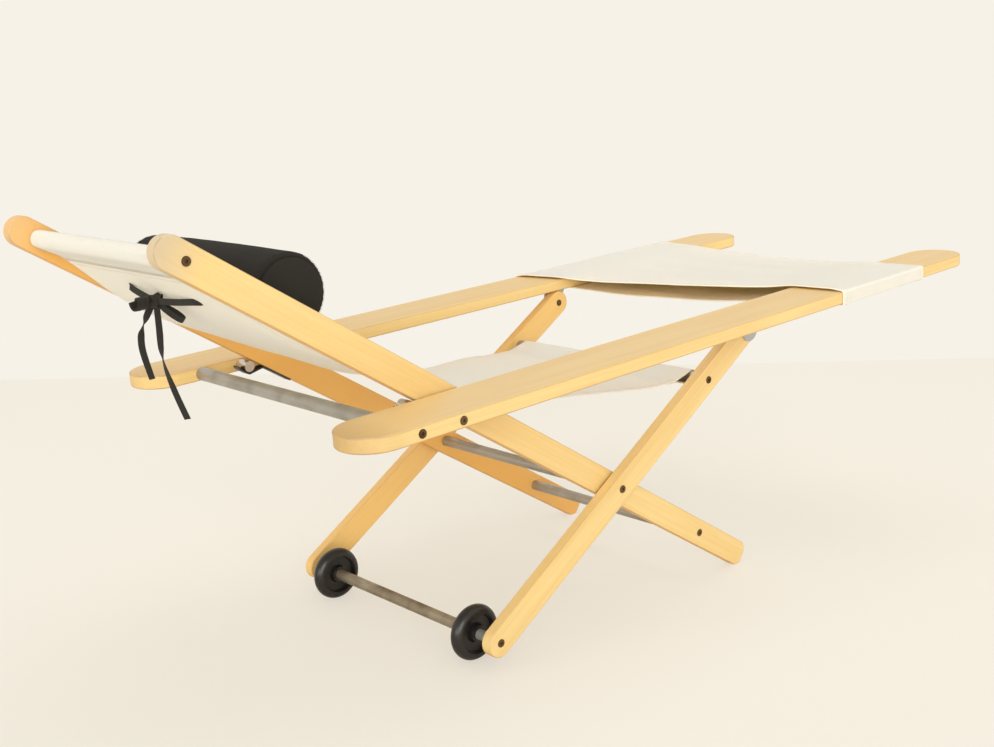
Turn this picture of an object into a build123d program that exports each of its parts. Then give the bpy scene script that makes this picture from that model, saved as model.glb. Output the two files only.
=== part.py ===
from build123d import *
from math import asin, atan2, cos, hypot, pi, radians, sin, tan
import os

# Outdoor chaise lounge. Two beech frames cross like scissors: the rails, which lean back from the floor
# and carry the head bar, and the legs, which stand on two wheels and carry the seat bar. A long board on
# each leg top is the armrest behind the leg and the leg rest in front of it. Its stud rests in a hook
# under the rail. One canvas sling hangs from the head bar to the seat bar.
# Millimetres. X is across (the sitter's right is -X), +Y is the head end, +Z is up, the floor is z = 0.
# The origin is on the floor, halfway along and across. Lengths along the side view are worked out with
# the axle at y = 0, and every finished piece is then moved by shift_y.

# Shared fits
fit_gap = 0.1          # round pieces that are fixed together
running_gap = 0.05     # round pieces that turn on each other
face_gap = 0.3         # faces of pieces that move past each other, and cloth over wood
edge_round = 2.0       # eased edges of the rails and legs
overrun = 5.0          # how far a cutting tool runs past the face that it cuts

# Rails
rail_inner = 225.0     # middle plane to a rail's inner face
rail_thickness = 21.0
rail_width = 50.0
rail_foot_reach = 467.0
rail_head_reach = 1022.0
foot_corner = 18.0     # rounding of the foot's corners
foot_land = 1.0        # depth of the flat that the foot stands on

# Legs
leg_slope_degrees = 33.5
leg_clearance = 6.0    # rail's outer face to the leg's inner face
leg_thickness = 21.0
leg_width = 52.0
pivot_reach = 369.0    # along the leg from the axle
leg_top_reach = 813.0
seat_bar_below = 148.0  # along the leg from its top
seat_bar_reach = leg_top_reach - seat_bar_below

# Wheels and axle
wheel_radius = 50.0
wheel_centre = 204.0   # middle plane to a wheel's own middle plane
wheel_hub_half = 13.0
wheel_hub_radius = 15.0
wheel_web_half = 4.0
wheel_rim_half = 13.0
wheel_rim_inner = 33.0
wheel_ridge = 3.0
wheel_tread_start = 38.5
axle_rod_radius = 6.0
axle_sleeve_radius = 10.5
axle_spacer_radius = 9.5
axle_end_play = 0.5
axle_bolt_radius = 3.0

# Boards
board_inner = 254.0    # middle plane to a board's inner edge
board_width = 118.0
board_thickness = 25.0
board_back_reach = 1017.0
board_front_reach = 690.0
board_edge_round = 3.0
board_gap = 1.0        # leg top to the board's underside
cross_tube_end = 105.0  # to the board's rear end
stud_spacing = 80.0    # cross tube to stud
cross_tube_reach = board_back_reach - cross_tube_end
stud_reach = cross_tube_reach - stud_spacing
stud_drop = 13.0       # rail's lower edge to the stud's axis

# Tubes, bars and studs
bar_radius = 12.5      # head bar and seat bar
frame_tube_radius = 10.5
cross_tube_radius = 12.2
tube_wall = 2.0
head_bar_end = 50.0    # to the rail's head end
foot_tube_end = 166.0  # to the rail's foot end
head_bar_reach = rail_head_reach - head_bar_end
foot_tube_reach = rail_foot_reach - foot_tube_end
stud_radius = 10.0
stud_length = 32.0
plug_length = 22.0
bolt_bite = 18.0       # how far a bolt goes into a tube's plug

# Bolts and washers
bolt_radius = 4.0
bolt_head_radius = 7.0
bolt_head_height = 3.0
bolt_sink = 2.0        # how deep a head sits in the wood
bolt_socket_across = 5.0
bolt_socket_depth = 2.2
head_clearance = 0.4
washer_radius = 13.0

# Hooks under the rails, measured from the stud's axis
hook_thickness = 3.0
hook_width = 18.0
hook_flat_start = 97.0
hook_flat_end = 31.0
hook_pocket_back = 9.0
hook_pocket_front = 10.0
hook_lip_reach = 18.0
hook_lip_rise = 2.5
hook_bend_radius = 5.0
hook_screw_places = (46.0, 84.0)

# Angle brackets under the boards, measured from the leg top's axis. The tongue lies on the leg's outer face
tongue_thickness = 4.0
tongue_radius = 23.0
tongue_front = 42.0
tongue_back = 20.0
flange_thickness = 3.0
flange_width = 34.0
flange_front = 45.0
flange_back = 60.0
bracket_screw_places = (-36.0, 48.0)

# Small screws
screw_radius = 2.0
screw_head_radius = 4.2
screw_length = 14.0

# Sling
sling_thickness = 2.0
sling_side_gap = 4.0   # to each rail's inner face
sling_half_width = rail_inner - sling_side_gap
sling_side_draw = 3.0
head_sleeve_reach = 42.0
seat_sleeve_reach = 50.0
sling_bend_shares = ((0.148, 0.0768), (0.5086, 0.116), (0.8941, 0.0331))
arc_share = 0.45

# Leg-rest canvas, with its edges measured forward of the leg tops
canvas_thickness = 2.0
canvas_sag = 12.0
canvas_back_right = 177.0
canvas_back_left = -17.0
canvas_back_bend_right = 165.0
canvas_back_bend_left = 5.0
canvas_under_left = 50.0
canvas_under_right = 172.0
canvas_front_right = 485.0
canvas_front_left = 509.0
canvas_front_middle = 474.0

# Bolster
bolster_radius = 66.5
bolster_end_radius = 65.0
bolster_cap_radius = 58.0
bolster_half_length = 211.0
bolster_shift = 11.0
bolster_dome = 12.0
bolster_shoulder = 11.0

# Ties of the bolster: flat tape, made here as round cord as wide as the tape
tape_width = 10.5
tape_thickness = 1.6
tape_flat_start = 60.0
tape_flat_end = 116.0
slit_left = 81.0
slit_right = -111.0
knot_along = 91.6
knot_behind = 19.0
knot_radius = 10.0
bow_turn_degrees = 227.6
loop_round_left = 10.0
loop_round_right = 9.5
loop_length_left = 30.0
loop_length_right = 50.0
loop_slope_left_degrees = 178.0
loop_slope_right_degrees = -32.0
loop_out_left = 3.0    # how far the loops lie out of the bow's middle plane
loop_out_right = -4.0

# Side view, worked out in the YZ plane
across = Vector(1, 0, 0)
leg_slope = radians(leg_slope_degrees)
leg_up = Vector(0, -cos(leg_slope), sin(leg_slope))
axle = Vector(0, 0, wheel_radius)
pivot = axle + leg_up * pivot_reach
seat_bar_place = axle + leg_up * seat_bar_reach
leg_top = axle + leg_up * leg_top_reach

# The rail leans so that its foot's lower corner, less the flat, stands on the floor
corner_along = rail_foot_reach - foot_corner
corner_below = rail_width / 2 - foot_corner
corner_drop = pivot.Z - foot_corner + foot_land
rail_slope = asin(corner_drop / hypot(corner_along, corner_below)) - atan2(corner_below, corner_along)
rail_up = Vector(0, cos(rail_slope), sin(rail_slope))
rail_normal = Vector(0, -sin(rail_slope), cos(rail_slope))
head_bar_place = pivot + rail_up * head_bar_reach
foot_tube_place = pivot - rail_up * foot_tube_reach

# The board slopes so that its stud lies stud_drop under the rail
board_offset = leg_width / 2 + board_gap + board_thickness / 2
stud_span = hypot(stud_reach, board_offset)
top_height = (leg_top - pivot).dot(rail_normal)
stud_fall = asin((top_height + rail_width / 2 + stud_drop) / stud_span)
board_slope = atan2(board_offset, stud_reach) + stud_fall - rail_slope
board_back = Vector(0, cos(board_slope), -sin(board_slope))
board_up = Vector(0, sin(board_slope), cos(board_slope))
board_middle = leg_top + board_up * board_offset
cross_tube_place = board_middle + board_back * cross_tube_reach
stud_place = board_middle + board_back * stud_reach

# Faces across the chair
rail_outer = rail_inner + rail_thickness
leg_inner = rail_outer + leg_clearance
leg_outer = leg_inner + leg_thickness
tongue_inner = leg_outer + face_gap
tongue_outer = tongue_inner + tongue_thickness
flange_middle = tongue_inner + flange_width / 2
board_outer = board_inner + board_width

# The whole length runs from the boards' front ends to the rails' head ends
front_end = (board_middle - board_back * board_front_reach - board_up * board_thickness / 2).Y
back_end = (pivot + rail_up * (rail_head_reach - rail_width / 2)).Y + rail_width / 2
shift_y = -(front_end + back_end) / 2

nodes = {}


def add(name, *solids):
    """Keep one node: its solids, moved so that the origin is halfway along the chair."""
    whole = solids[0] if len(solids) == 1 else Compound(children=list(solids))
    nodes[name] = Pos(0, shift_y, 0) * whole


def both_sides(name, solid):
    """Keep a piece of the left side, and its mirror image on the right."""
    add(name + "_left", solid)
    add(name + "_right", mirror(solid, about=Plane.YZ))


def pair(solid):
    """A left-side solid and its mirror image."""
    return [solid, mirror(solid, about=Plane.YZ)]


def side_plane(point, x, direction=Vector(0, 1, 0)):
    """A plane that is seen from the side: local x runs along direction, local z along +X."""
    return Plane(origin=point + across * x, x_dir=direction, z_dir=across)


def upright(radius, start, end):
    """A cylinder on the local z axis, from start to end."""
    return Pos(0, 0, start) * Cylinder(radius, end - start, align=(Align.CENTER, Align.CENTER, Align.MIN))


def cylinder_across(point, radius, start, end):
    """A cylinder along X through a point of the side view."""
    return side_plane(point, 0) * upright(radius, start, end)


def ring_across(point, outer, inner, start, end):
    """A tube along X through a point of the side view."""
    hole = cylinder_across(point, inner, start - overrun, end + overrun)
    return cylinder_across(point, outer, start, end) - hole


def board_solid(outline, thickness, rounding):
    """A board from its outline, with eased edges on both faces."""
    solid = extrude(outline, thickness)
    return fillet(solid.faces().filter_by(Axis.Z).edges(), rounding)


def bolt_solid(radius, length):
    """A socket-head bolt on the local z axis, head outward, underside of the head at zero."""
    head = upright(bolt_head_radius, 0, bolt_head_height)
    socket_radius = bolt_socket_across / 2
    socket = extrude(RegularPolygon(socket_radius, 6, major_radius=False), bolt_socket_depth)
    return head + upright(radius, -length, 0) - Pos(0, 0, bolt_head_height - bolt_socket_depth) * socket


def bolt_across(point, radius, seat_x, end_x):
    """A left-side bolt: its head is on seat_x and its tip at end_x."""
    return side_plane(point, seat_x) * bolt_solid(radius, seat_x - end_x)


def screw_solid():
    """A countersunk screw on the local z axis, with its flat head's top at zero."""
    head = Pos(0, 0, -screw_head_radius / 2) * Cone(screw_radius, screw_head_radius, screw_head_radius)
    return head + upright(screw_radius, -screw_length, 0)


def screw_hole():
    """The countersunk hole that a small screw sits in."""
    sunk = Pos(0, 0, -screw_head_radius / 2)
    head = Cone(screw_radius + fit_gap, screw_head_radius + fit_gap, screw_head_radius)
    return sunk * head + upright(screw_radius + fit_gap, -screw_length - fit_gap, overrun)


def bend_radius(before, corner, after):
    """The largest arc that a corner's two runs allow."""
    run = min((corner - before).length, (after - corner).length)
    half_turn = radians((corner - before).get_angle(after - corner)) / 2
    return arc_share * run / tan(half_turn)


def strip_edge(points, radii, distance):
    """The line beside a bent strip's middle line, a distance to its left."""
    beside = []
    beside_radii = []
    for index, point in enumerate(points):
        before = point - points[max(index - 1, 0)]
        after = points[min(index + 1, len(points) - 1)] - point
        first = before if index else after
        second = after if index < len(points) - 1 else before
        normal = (first.normalized() + second.normalized()).normalized().rotate(Axis.Z, 90)
        half_turn = radians(first.get_angle(second)) / 2
        beside.append(point + normal * (distance / cos(half_turn)))
        if 0 < index < len(points) - 1:
            turn_left = first.cross(second).Z > 0
            beside_radii.append(radii[index - 1] - (distance if turn_left else -distance))
    return FilletPolyline(*beside, radius=beside_radii)


def strip_face(points, radii, thickness):
    """The side view of a bent strip: its middle line, thickened to both sides."""
    left = strip_edge(points, radii, thickness / 2)
    right = strip_edge(points, radii, -thickness / 2)
    ends = Line(left @ 0, right @ 0) + Line(left @ 1, right @ 1)
    return make_face((left + right + ends).edges())


def drop_face(round_radius, reach, tip_radius):
    """A drop-shaped face: round at the origin, drawn out to a tip on the local x axis."""
    return make_hull((Circle(round_radius) + Pos(reach, 0) * Circle(tip_radius)).edges())


# Rails
def rail_solid():
    straight = rail_head_reach - rail_width / 2 + rail_foot_reach
    flat = Pos(straight / 2 - rail_foot_reach, 0) * Rectangle(straight, rail_width)
    flat = fillet(flat.vertices().sort_by(Axis.X)[:2], foot_corner)
    outline = flat + Pos(rail_head_reach - rail_width / 2, 0) * Circle(rail_width / 2)
    solid = board_solid(outline, rail_thickness, edge_round)
    hole = upright(bolt_radius + fit_gap, -overrun, rail_thickness + overrun)
    recess_radius = bolt_head_radius + head_clearance
    recess = upright(recess_radius, rail_thickness - bolt_sink, rail_thickness + overrun)
    solid -= hole
    for reach in (head_bar_reach, -foot_tube_reach):
        solid -= Pos(reach, 0, 0) * (hole + recess)
    solid = side_plane(pivot, rail_inner, rail_up) * solid
    below = Box(rail_outer, rail_foot_reach, rail_width, align=(Align.MIN, Align.CENTER, Align.MAX))
    return solid - Pos(0, (pivot - rail_up * rail_foot_reach).Y, 0) * below


# Under the rail, local z points down out of the wood
hook_middle = rail_inner + rail_thickness / 2
stud_along = (stud_place - pivot).dot(rail_up)
rail_under = pivot - rail_normal * (rail_width / 2)


def hook_screw_plane(place):
    """Where a hook's screw sits: on the strip's outer face, pointing out of it."""
    origin = rail_under + rail_up * (stud_along - place) + across * hook_middle
    return Plane(origin=origin - rail_normal * hook_thickness, x_dir=rail_up, z_dir=-rail_normal)


def hook_solid():
    flat_line = stud_drop - hook_thickness / 2
    pocket_line = -(stud_radius + face_gap + hook_thickness / 2)
    points = [
        Vector(-hook_flat_start, flat_line),
        Vector(-hook_flat_end, flat_line),
        Vector(-hook_pocket_back, pocket_line),
        Vector(hook_pocket_front, pocket_line),
        Vector(hook_lip_reach, pocket_line + hook_lip_rise),
    ]
    radii = [hook_bend_radius, hook_bend_radius, hook_bend_radius]
    strip = extrude(strip_face(points, radii, hook_thickness), hook_width)
    return side_plane(stud_place, hook_middle - hook_width / 2, rail_up) * strip


rail_left = rail_solid()
hook_left = hook_solid()
hook_screws = []
for place in hook_screw_places:
    plane = hook_screw_plane(place)
    rail_left -= plane * screw_hole()
    hook_left -= plane * screw_hole()
    hook_screws += pair(plane * screw_solid())

both_sides("rail", rail_left)
both_sides("hook", hook_left)
add("hook_screws", *hook_screws)

# Tubes and bars between the frames' sides, with a threaded plug in each end
plugs = {"rail": [], "leg": [], "board": []}


def tube_between(name, point, radius, half_length, frame):
    add(name, ring_across(point, radius, radius - tube_wall, -half_length, half_length))
    plug_radius = radius - tube_wall - fit_gap
    start = half_length - plug_length
    plugs[frame] += pair(ring_across(point, plug_radius, bolt_radius + fit_gap, start, half_length))


tube_between("head_bar", head_bar_place, bar_radius, rail_inner, "rail")
tube_between("pivot_tube", pivot, frame_tube_radius, rail_inner, "rail")
tube_between("foot_tube", foot_tube_place, frame_tube_radius, rail_inner, "rail")
tube_between("seat_bar", seat_bar_place, bar_radius, leg_inner, "leg")
tube_between("cross_tube", cross_tube_place, cross_tube_radius, board_inner, "board")
for frame, solids in plugs.items():
    add(frame + "_tube_plugs", *solids)

# Bolts of the rails, and the pivot on which the legs turn
rail_seat = rail_outer - bolt_sink
leg_seat = leg_outer - bolt_sink
board_seat = board_outer - bolt_sink
rail_bolt_end = rail_inner - bolt_bite
add("head_bar_bolts", *pair(bolt_across(head_bar_place, bolt_radius, rail_seat, rail_bolt_end)))
add("foot_tube_bolts", *pair(bolt_across(foot_tube_place, bolt_radius, rail_seat, rail_bolt_end)))
add("pivot_bolts", *pair(bolt_across(pivot, bolt_radius, leg_seat + face_gap, rail_bolt_end)))
pivot_washer = ring_across(pivot, washer_radius, bolt_radius + fit_gap, rail_outer, leg_inner - face_gap)
add("pivot_washers", *pair(pivot_washer))


# Legs
def leg_solid():
    outline = Pos(leg_top_reach / 2, 0) * SlotCenterToCenter(leg_top_reach, leg_width)
    solid = board_solid(outline, leg_thickness, edge_round)
    recess_radius = bolt_head_radius + head_clearance
    outer_recess = upright(recess_radius, leg_thickness - bolt_sink, leg_thickness + overrun)
    inner_recess = upright(recess_radius, -overrun, bolt_sink)
    holes = (
        (0, axle_bolt_radius + fit_gap, outer_recess),
        (pivot_reach, bolt_radius + running_gap, outer_recess),
        (seat_bar_reach, bolt_radius + fit_gap, outer_recess),
        (leg_top_reach, bolt_radius + fit_gap, inner_recess),
    )
    for reach, radius, recess in holes:
        solid -= Pos(reach, 0, 0) * (upright(radius, -overrun, leg_thickness + overrun) + recess)
    return side_plane(axle, leg_inner, leg_up) * solid


both_sides("leg", leg_solid())
leg_bolt_end = leg_inner - bolt_bite
add("seat_bar_bolts", *pair(bolt_across(seat_bar_place, bolt_radius, leg_seat, leg_bolt_end)))

# The pin in each leg top has one head on the bracket's tongue and one in the leg's inner face
pin_seat = leg_inner + bolt_sink
pin = bolt_across(leg_top, bolt_radius, tongue_outer + face_gap, pin_seat)
pin_head = cylinder_across(leg_top, bolt_head_radius, pin_seat - bolt_head_height, pin_seat)
add("leg_top_pins", *pair(pin + pin_head))

# Axle, wheels, and what keeps them apart
hub_inner = wheel_centre - wheel_hub_half
hub_outer = wheel_centre + wheel_hub_half
rod_bore = cylinder_across(axle, axle_bolt_radius + fit_gap, leg_inner - plug_length, leg_inner + overrun)
rod = cylinder_across(axle, axle_rod_radius, -leg_inner, leg_inner) - rod_bore
add("axle_rod", rod - mirror(rod_bore, about=Plane.YZ))
sleeve_half = hub_inner - axle_end_play
sleeve_bore = axle_rod_radius + fit_gap
add("axle_sleeve", ring_across(axle, axle_sleeve_radius, sleeve_bore, -sleeve_half, sleeve_half))
spacer = ring_across(axle, axle_spacer_radius, sleeve_bore, hub_outer + axle_end_play, leg_inner)
add("axle_spacers", *pair(spacer))
add("axle_bolts", *pair(bolt_across(axle, axle_bolt_radius, leg_seat, leg_bolt_end)))


def wheel_solid():
    """A wheel turned about X: hub, dished web, ridge, and a round tread. Points are (across, radius)."""
    bore = axle_rod_radius + running_gap
    half = [
        (wheel_hub_half, bore),
        (wheel_hub_half, wheel_hub_radius),
        (wheel_web_half, wheel_hub_radius + wheel_ridge),
        (wheel_web_half, wheel_rim_inner),
        (wheel_rim_half, wheel_rim_inner + wheel_ridge),
        (wheel_rim_half, wheel_tread_start),
    ]
    other = [(-x, radius) for x, radius in reversed(half)]
    tread = ThreePointArc(half[-1], (0, wheel_radius), other[0])
    edges = Polyline(*half) + tread + Polyline(*other, half[0])
    turned = revolve(make_face(edges.edges()), Axis.X)
    return Pos(wheel_centre, axle.Y, axle.Z) * turned


both_sides("wheel", wheel_solid())


# Boards. Local x runs to the front along the board, local y across, local z out of the top
def board_plane(x):
    return Plane(origin=board_middle + across * x, x_dir=-board_back, z_dir=board_up)


def board_piece():
    straight = board_front_reach + board_back_reach - board_width
    middle = (board_front_reach - board_back_reach) / 2
    outline = Pos(middle, 0) * SlotCenterToCenter(straight, board_width)
    solid = Pos(0, 0, -board_thickness / 2) * board_solid(outline, board_thickness, board_edge_round)
    pocket_length = flange_front + flange_back + 2 * fit_gap
    pocket_middle = (flange_front - flange_back) / 2
    pocket_width = flange_width + 2 * fit_gap
    pocket_depth = flange_thickness + overrun
    pocket = Box(pocket_length, pocket_width, pocket_depth, align=(Align.CENTER, Align.CENTER, Align.MAX))
    pocket_top = flange_thickness + fit_gap - board_thickness / 2
    solid -= Pos(pocket_middle, flange_middle - board_inner - board_width / 2, pocket_top) * pocket
    solid = board_plane(board_inner + board_width / 2) * solid
    for place in (cross_tube_place, stud_place):
        solid -= cylinder_across(place, bolt_radius + fit_gap, board_inner - overrun, board_outer + overrun)
        recess_radius = bolt_head_radius + head_clearance
        solid -= cylinder_across(place, recess_radius, board_seat, board_outer + overrun)
    return solid


# Brackets: the tongue hangs on the leg top's outer face, the flange is let into the board's underside
def bracket_solid():
    under = board_offset - board_thickness / 2
    tongue_length = tongue_front + tongue_back
    top_bar = Pos((tongue_back - tongue_front) / 2, under) * Rectangle(tongue_length, flange_thickness)
    tongue_outline = make_hull((Circle(tongue_radius) + top_bar).edges())
    tongue = side_plane(leg_top, tongue_inner, board_back) * extrude(tongue_outline, tongue_thickness)
    flange_length = flange_front + flange_back
    flange = Box(flange_length, flange_width, flange_thickness, align=(Align.CENTER, Align.CENTER, Align.MIN))
    flange_place = Pos((flange_front - flange_back) / 2, 0, -board_thickness / 2)
    bracket = tongue + board_plane(flange_middle) * flange_place * flange
    return bracket - cylinder_across(leg_top, bolt_radius + running_gap, board_inner - overrun, board_outer)


def bracket_screw_plane(place):
    """Where a bracket's screw sits: flush in the flange, pointing down out of it."""
    x = flange_middle + tongue_thickness / 2
    origin = board_middle + board_back * place - board_up * (board_thickness / 2) + across * x
    return Plane(origin=origin, x_dir=board_back, z_dir=-board_up)


board_left = board_piece()
bracket_left = bracket_solid()
bracket_screws = []
for place in bracket_screw_places:
    plane = bracket_screw_plane(place)
    board_left -= plane * screw_hole()
    bracket_left -= plane * screw_hole()
    bracket_screws += pair(plane * screw_solid())

both_sides("board", board_left)
both_sides("bracket", bracket_left)
add("bracket_screws", *bracket_screws)

# Studs that stand inward from the boards, and the long bolts through the boards
board_bolt_end = board_inner - bolt_bite
stud = cylinder_across(stud_place, stud_radius, board_inner - stud_length, board_inner)
stud_hole_start = board_inner - plug_length
stud_hole = cylinder_across(stud_place, bolt_radius + fit_gap, stud_hole_start, board_inner + overrun)
both_sides("stud", stud - stud_hole)
add("stud_bolts", *pair(bolt_across(stud_place, bolt_radius, board_seat, board_bolt_end)))
add("cross_tube_bolts", *pair(bolt_across(cross_tube_place, bolt_radius, board_seat, board_bolt_end)))


# Sling: a sleeve round each bar and one bent sheet between their seams. Points are (y, z)
def flat_point(vector):
    return Vector(vector.Y, vector.Z)


sling_head = flat_point(head_bar_place)
sling_seat = flat_point(seat_bar_place)
sling_span = sling_seat - sling_head
sling_bends = []
for along_share, drop_share in sling_bend_shares:
    drop = Vector(0, -sling_span.length * drop_share)
    sling_bends.append(sling_head + sling_span * along_share + drop)
head_side = (sling_bends[0] - sling_head).normalized()
seat_side = (sling_bends[-1] - sling_seat).normalized()
head_seam = sling_head + head_side * head_sleeve_reach
seat_seam = sling_seat + seat_side * seat_sleeve_reach
sling_line = [head_seam, *sling_bends, seat_seam]
sling_radii = []
for before, corner, after in zip(sling_line, sling_line[1:], sling_line[2:]):
    sling_radii.append(bend_radius(before, corner, after))


def sleeve_face(centre, seam_direction, reach):
    """The side view of a sleeve: a drop-shaped loop that closes at its seam."""
    inner = bar_radius + face_gap
    outer = inner + sling_thickness
    loop = drop_face(outer, reach, sling_thickness / 2)
    hollow = drop_face(inner, reach - 3 * sling_thickness, sling_thickness / 4)
    turn = Vector(1, 0).get_signed_angle(seam_direction, Vector(0, 0, 1))
    return Pos(centre.X, centre.Y) * Rot(0, 0, turn) * (loop - hollow)


def sling_solid():
    sheet = strip_face(sling_line, sling_radii, sling_thickness)
    sheet += sleeve_face(sling_head, head_side, head_sleeve_reach)
    sheet += sleeve_face(sling_seat, seat_side, seat_sleeve_reach)
    solid = side_plane(Vector(0, 0, 0), -sling_half_width) * extrude(sheet, 2 * sling_half_width)
    # Both long sides are drawn in a little between the seams
    start = Vector(sling_half_width, head_seam.X)
    end = Vector(sling_half_width, seat_seam.X)
    middle = Vector(sling_half_width - sling_side_draw, (start.Y + end.Y) / 2)
    sliver = make_face((ThreePointArc(start, middle, end) + Line(start, end)).edges())
    side_cut = extrude(sliver, head_bar_place.Z)
    return solid - side_cut - mirror(side_cut, about=Plane.YZ)


add("sling", sling_solid())


# Leg-rest canvas: a tube of canvas over both boards, which sags between them
def canvas_section(half_width, half_height):
    """One closed outline across the boards: flat over each board, hanging between them."""
    corners = []
    for up, sideways in ((1, -1), (1, 1), (-1, 1), (-1, -1)):
        corners.append((sideways * half_width, up * half_height))
    top_left, top_right, low_right, low_left = corners
    span_start = (-board_inner, half_height)
    span_end = (board_inner, half_height)
    low_start = (board_inner, -half_height)
    low_end = (-board_inner, -half_height)
    edges = Line(top_left, span_start) + ThreePointArc(span_start, (0, half_height - canvas_sag), span_end)
    edges += Polyline(span_end, top_right, low_right, low_start)
    edges += ThreePointArc(low_start, (0, -half_height - canvas_sag), low_end)
    edges += Polyline(low_end, low_left, top_left)
    return make_face(edges.edges())


def canvas_solid():
    inner_half = board_outer + face_gap
    inner_height = board_thickness / 2 + face_gap
    outer_half = inner_half + canvas_thickness
    outer_height = inner_height + canvas_thickness
    section = canvas_section(outer_half, outer_height) - canvas_section(inner_half, inner_height)
    length = canvas_front_left - canvas_back_left
    plane = Plane(origin=board_middle - board_back * canvas_back_left, x_dir=across, z_dir=-board_back)
    solid = plane * extrude(section, length)
    # Edges are drawn in the boards' plane: local x forward, local y across
    wide = outer_half + overrun
    behind = canvas_back_left - overrun
    top_edge = [
        (canvas_back_right, -wide),
        (canvas_back_bend_right, -board_inner),
        (canvas_back_bend_left, board_inner),
        (canvas_back_left, wide),
    ]
    under_edge = [
        (canvas_back_right, -wide),
        (canvas_under_right, -board_inner),
        (canvas_under_left, board_inner),
        (canvas_under_left, wide),
    ]
    reach = outer_height + canvas_sag + overrun
    top_cut = extrude(Polygon(*top_edge, (behind, wide), (behind, -wide), align=None), reach)
    under_cut = extrude(Polygon(*under_edge, (behind, wide), (behind, -wide), align=None), -reach)
    front_start = (canvas_front_right, -wide)
    front_end_point = (canvas_front_left, wide)
    beyond = canvas_front_left + canvas_front_left - canvas_front_right
    front_arc = ThreePointArc(front_start, (canvas_front_middle, 0), front_end_point)
    front_rest = Polyline(front_end_point, (beyond, wide), (beyond, -wide), front_start)
    front_face = make_face((front_arc + front_rest).edges())
    front_cut = extrude(front_face, reach, both=True)
    flat = board_plane(0)
    return solid - flat * top_cut - flat * under_cut - flat * front_cut


add("leg_canvas", canvas_solid())

# Bolster: it lies in the sling's upper bend, level across, its middle a little to the left
bend_in = (sling_line[0] - sling_line[1]).normalized()
bend_out = (sling_line[2] - sling_line[1]).normalized()
bend_axis = (bend_in + bend_out).normalized()
half_opening = radians(bend_in.get_angle(bend_out)) / 2
bend_centre = sling_line[1] + bend_axis * (sling_radii[0] / sin(half_opening))
bolster_rise = sling_radii[0] - bolster_radius - sling_thickness / 2 - face_gap
bolster_flat = bend_centre - bend_axis * bolster_rise
bolster_place = Vector(0, bolster_flat.X, bolster_flat.Y)


def bolster_solid():
    """Turned about X. Points are (across, radius): domed cap, round shoulder, crowned body."""
    cap_x = bolster_half_length - bolster_dome
    body_x = cap_x - bolster_shoulder
    round_share = 0.3
    lift = bolster_end_radius - bolster_cap_radius
    dome_middle = (bolster_half_length - bolster_dome / 4, bolster_cap_radius / 2)
    shoulder_middle = (cap_x - bolster_shoulder * round_share, bolster_end_radius - lift * round_share)
    cap = (cap_x, bolster_cap_radius)
    body = (body_x, bolster_end_radius)
    edges = ThreePointArc((bolster_half_length, 0), dome_middle, cap)
    edges += ThreePointArc(cap, shoulder_middle, body)
    edges += Line(body, (body_x, 0)) + Line((body_x, 0), (bolster_half_length, 0))
    end = revolve(make_face(edges.edges()), Axis.X)
    crown = ThreePointArc(body, (0, bolster_radius), (-body_x, bolster_end_radius))
    rest = Polyline((-body_x, bolster_end_radius), (-body_x, 0), (body_x, 0), body)
    middle = revolve(make_face((crown + rest).edges()), Axis.X)
    whole = middle + end + mirror(end, about=Plane.YZ)
    return Pos(bolster_shift, bolster_place.Y, bolster_place.Z) * whole


add("bolster", bolster_solid())

# Ties. The tapes lie on the sling in front, and go through two slits to a bow behind it
sheet_up = Vector(0, bend_in.X, bend_in.Y)
sheet_front = Vector(0, -bend_in.Y, bend_in.X)
sheet_bend = Vector(0, sling_line[1].X, sling_line[1].Y)


def sheet_point(x, along, front):
    """A point by the sling's upper stretch: across, up along the sheet from its bend, and in front of it."""
    return across * x + sheet_bend + sheet_up * along + sheet_front * front


def tape_flat(x):
    """The tape's stretch between the bolster and its slit, flat on the sling."""
    length = tape_flat_end - tape_flat_start
    front = sling_thickness / 2 + face_gap + tape_thickness / 2
    origin = sheet_point(x, (tape_flat_start + tape_flat_end) / 2, front)
    return Plane(origin=origin, x_dir=across, z_dir=sheet_front) * Box(tape_width, length, tape_thickness)


def cord_solid(name, points):
    """A round cord through a route chosen by hand, with the largest arc at each corner."""
    radii = []
    for before, corner, after in zip(points, points[1:], points[2:]):
        radii.append(bend_radius(before, corner, after))
    path = FilletPolyline(*points, radius=radii)
    section = Plane(origin=path @ 0, z_dir=path % 0) * Circle(tape_width / 2)
    solid = sweep(section, path=path)
    tube_volume = pi * (tape_width / 2) ** 2 * path.length
    radii_text = " ".join(f"{radius:.0f}" for radius in radii)
    share = solid.volume / tube_volume
    print(f"{name}: length {path.length:.1f}, radii {radii_text}, volume share {share:.4f}")
    return solid


add("tie_tape_left", tape_flat(slit_left))
add("tie_tape_right", tape_flat(slit_right))

knot_place = sheet_point(0, knot_along, -knot_behind)
add("tie_knot", Pos(*knot_place) * Sphere(knot_radius))

# The bow hangs in an upright plane, where local x is level and local y is up
bow_turn = radians(bow_turn_degrees)
bow_level = Vector(cos(bow_turn), sin(bow_turn), 0)
bow_out = Vector(sin(bow_turn), -cos(bow_turn), 0)


def bow_point(level, up, out):
    return knot_place + bow_level * level + Vector(0, 0, up) + bow_out * out


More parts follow.
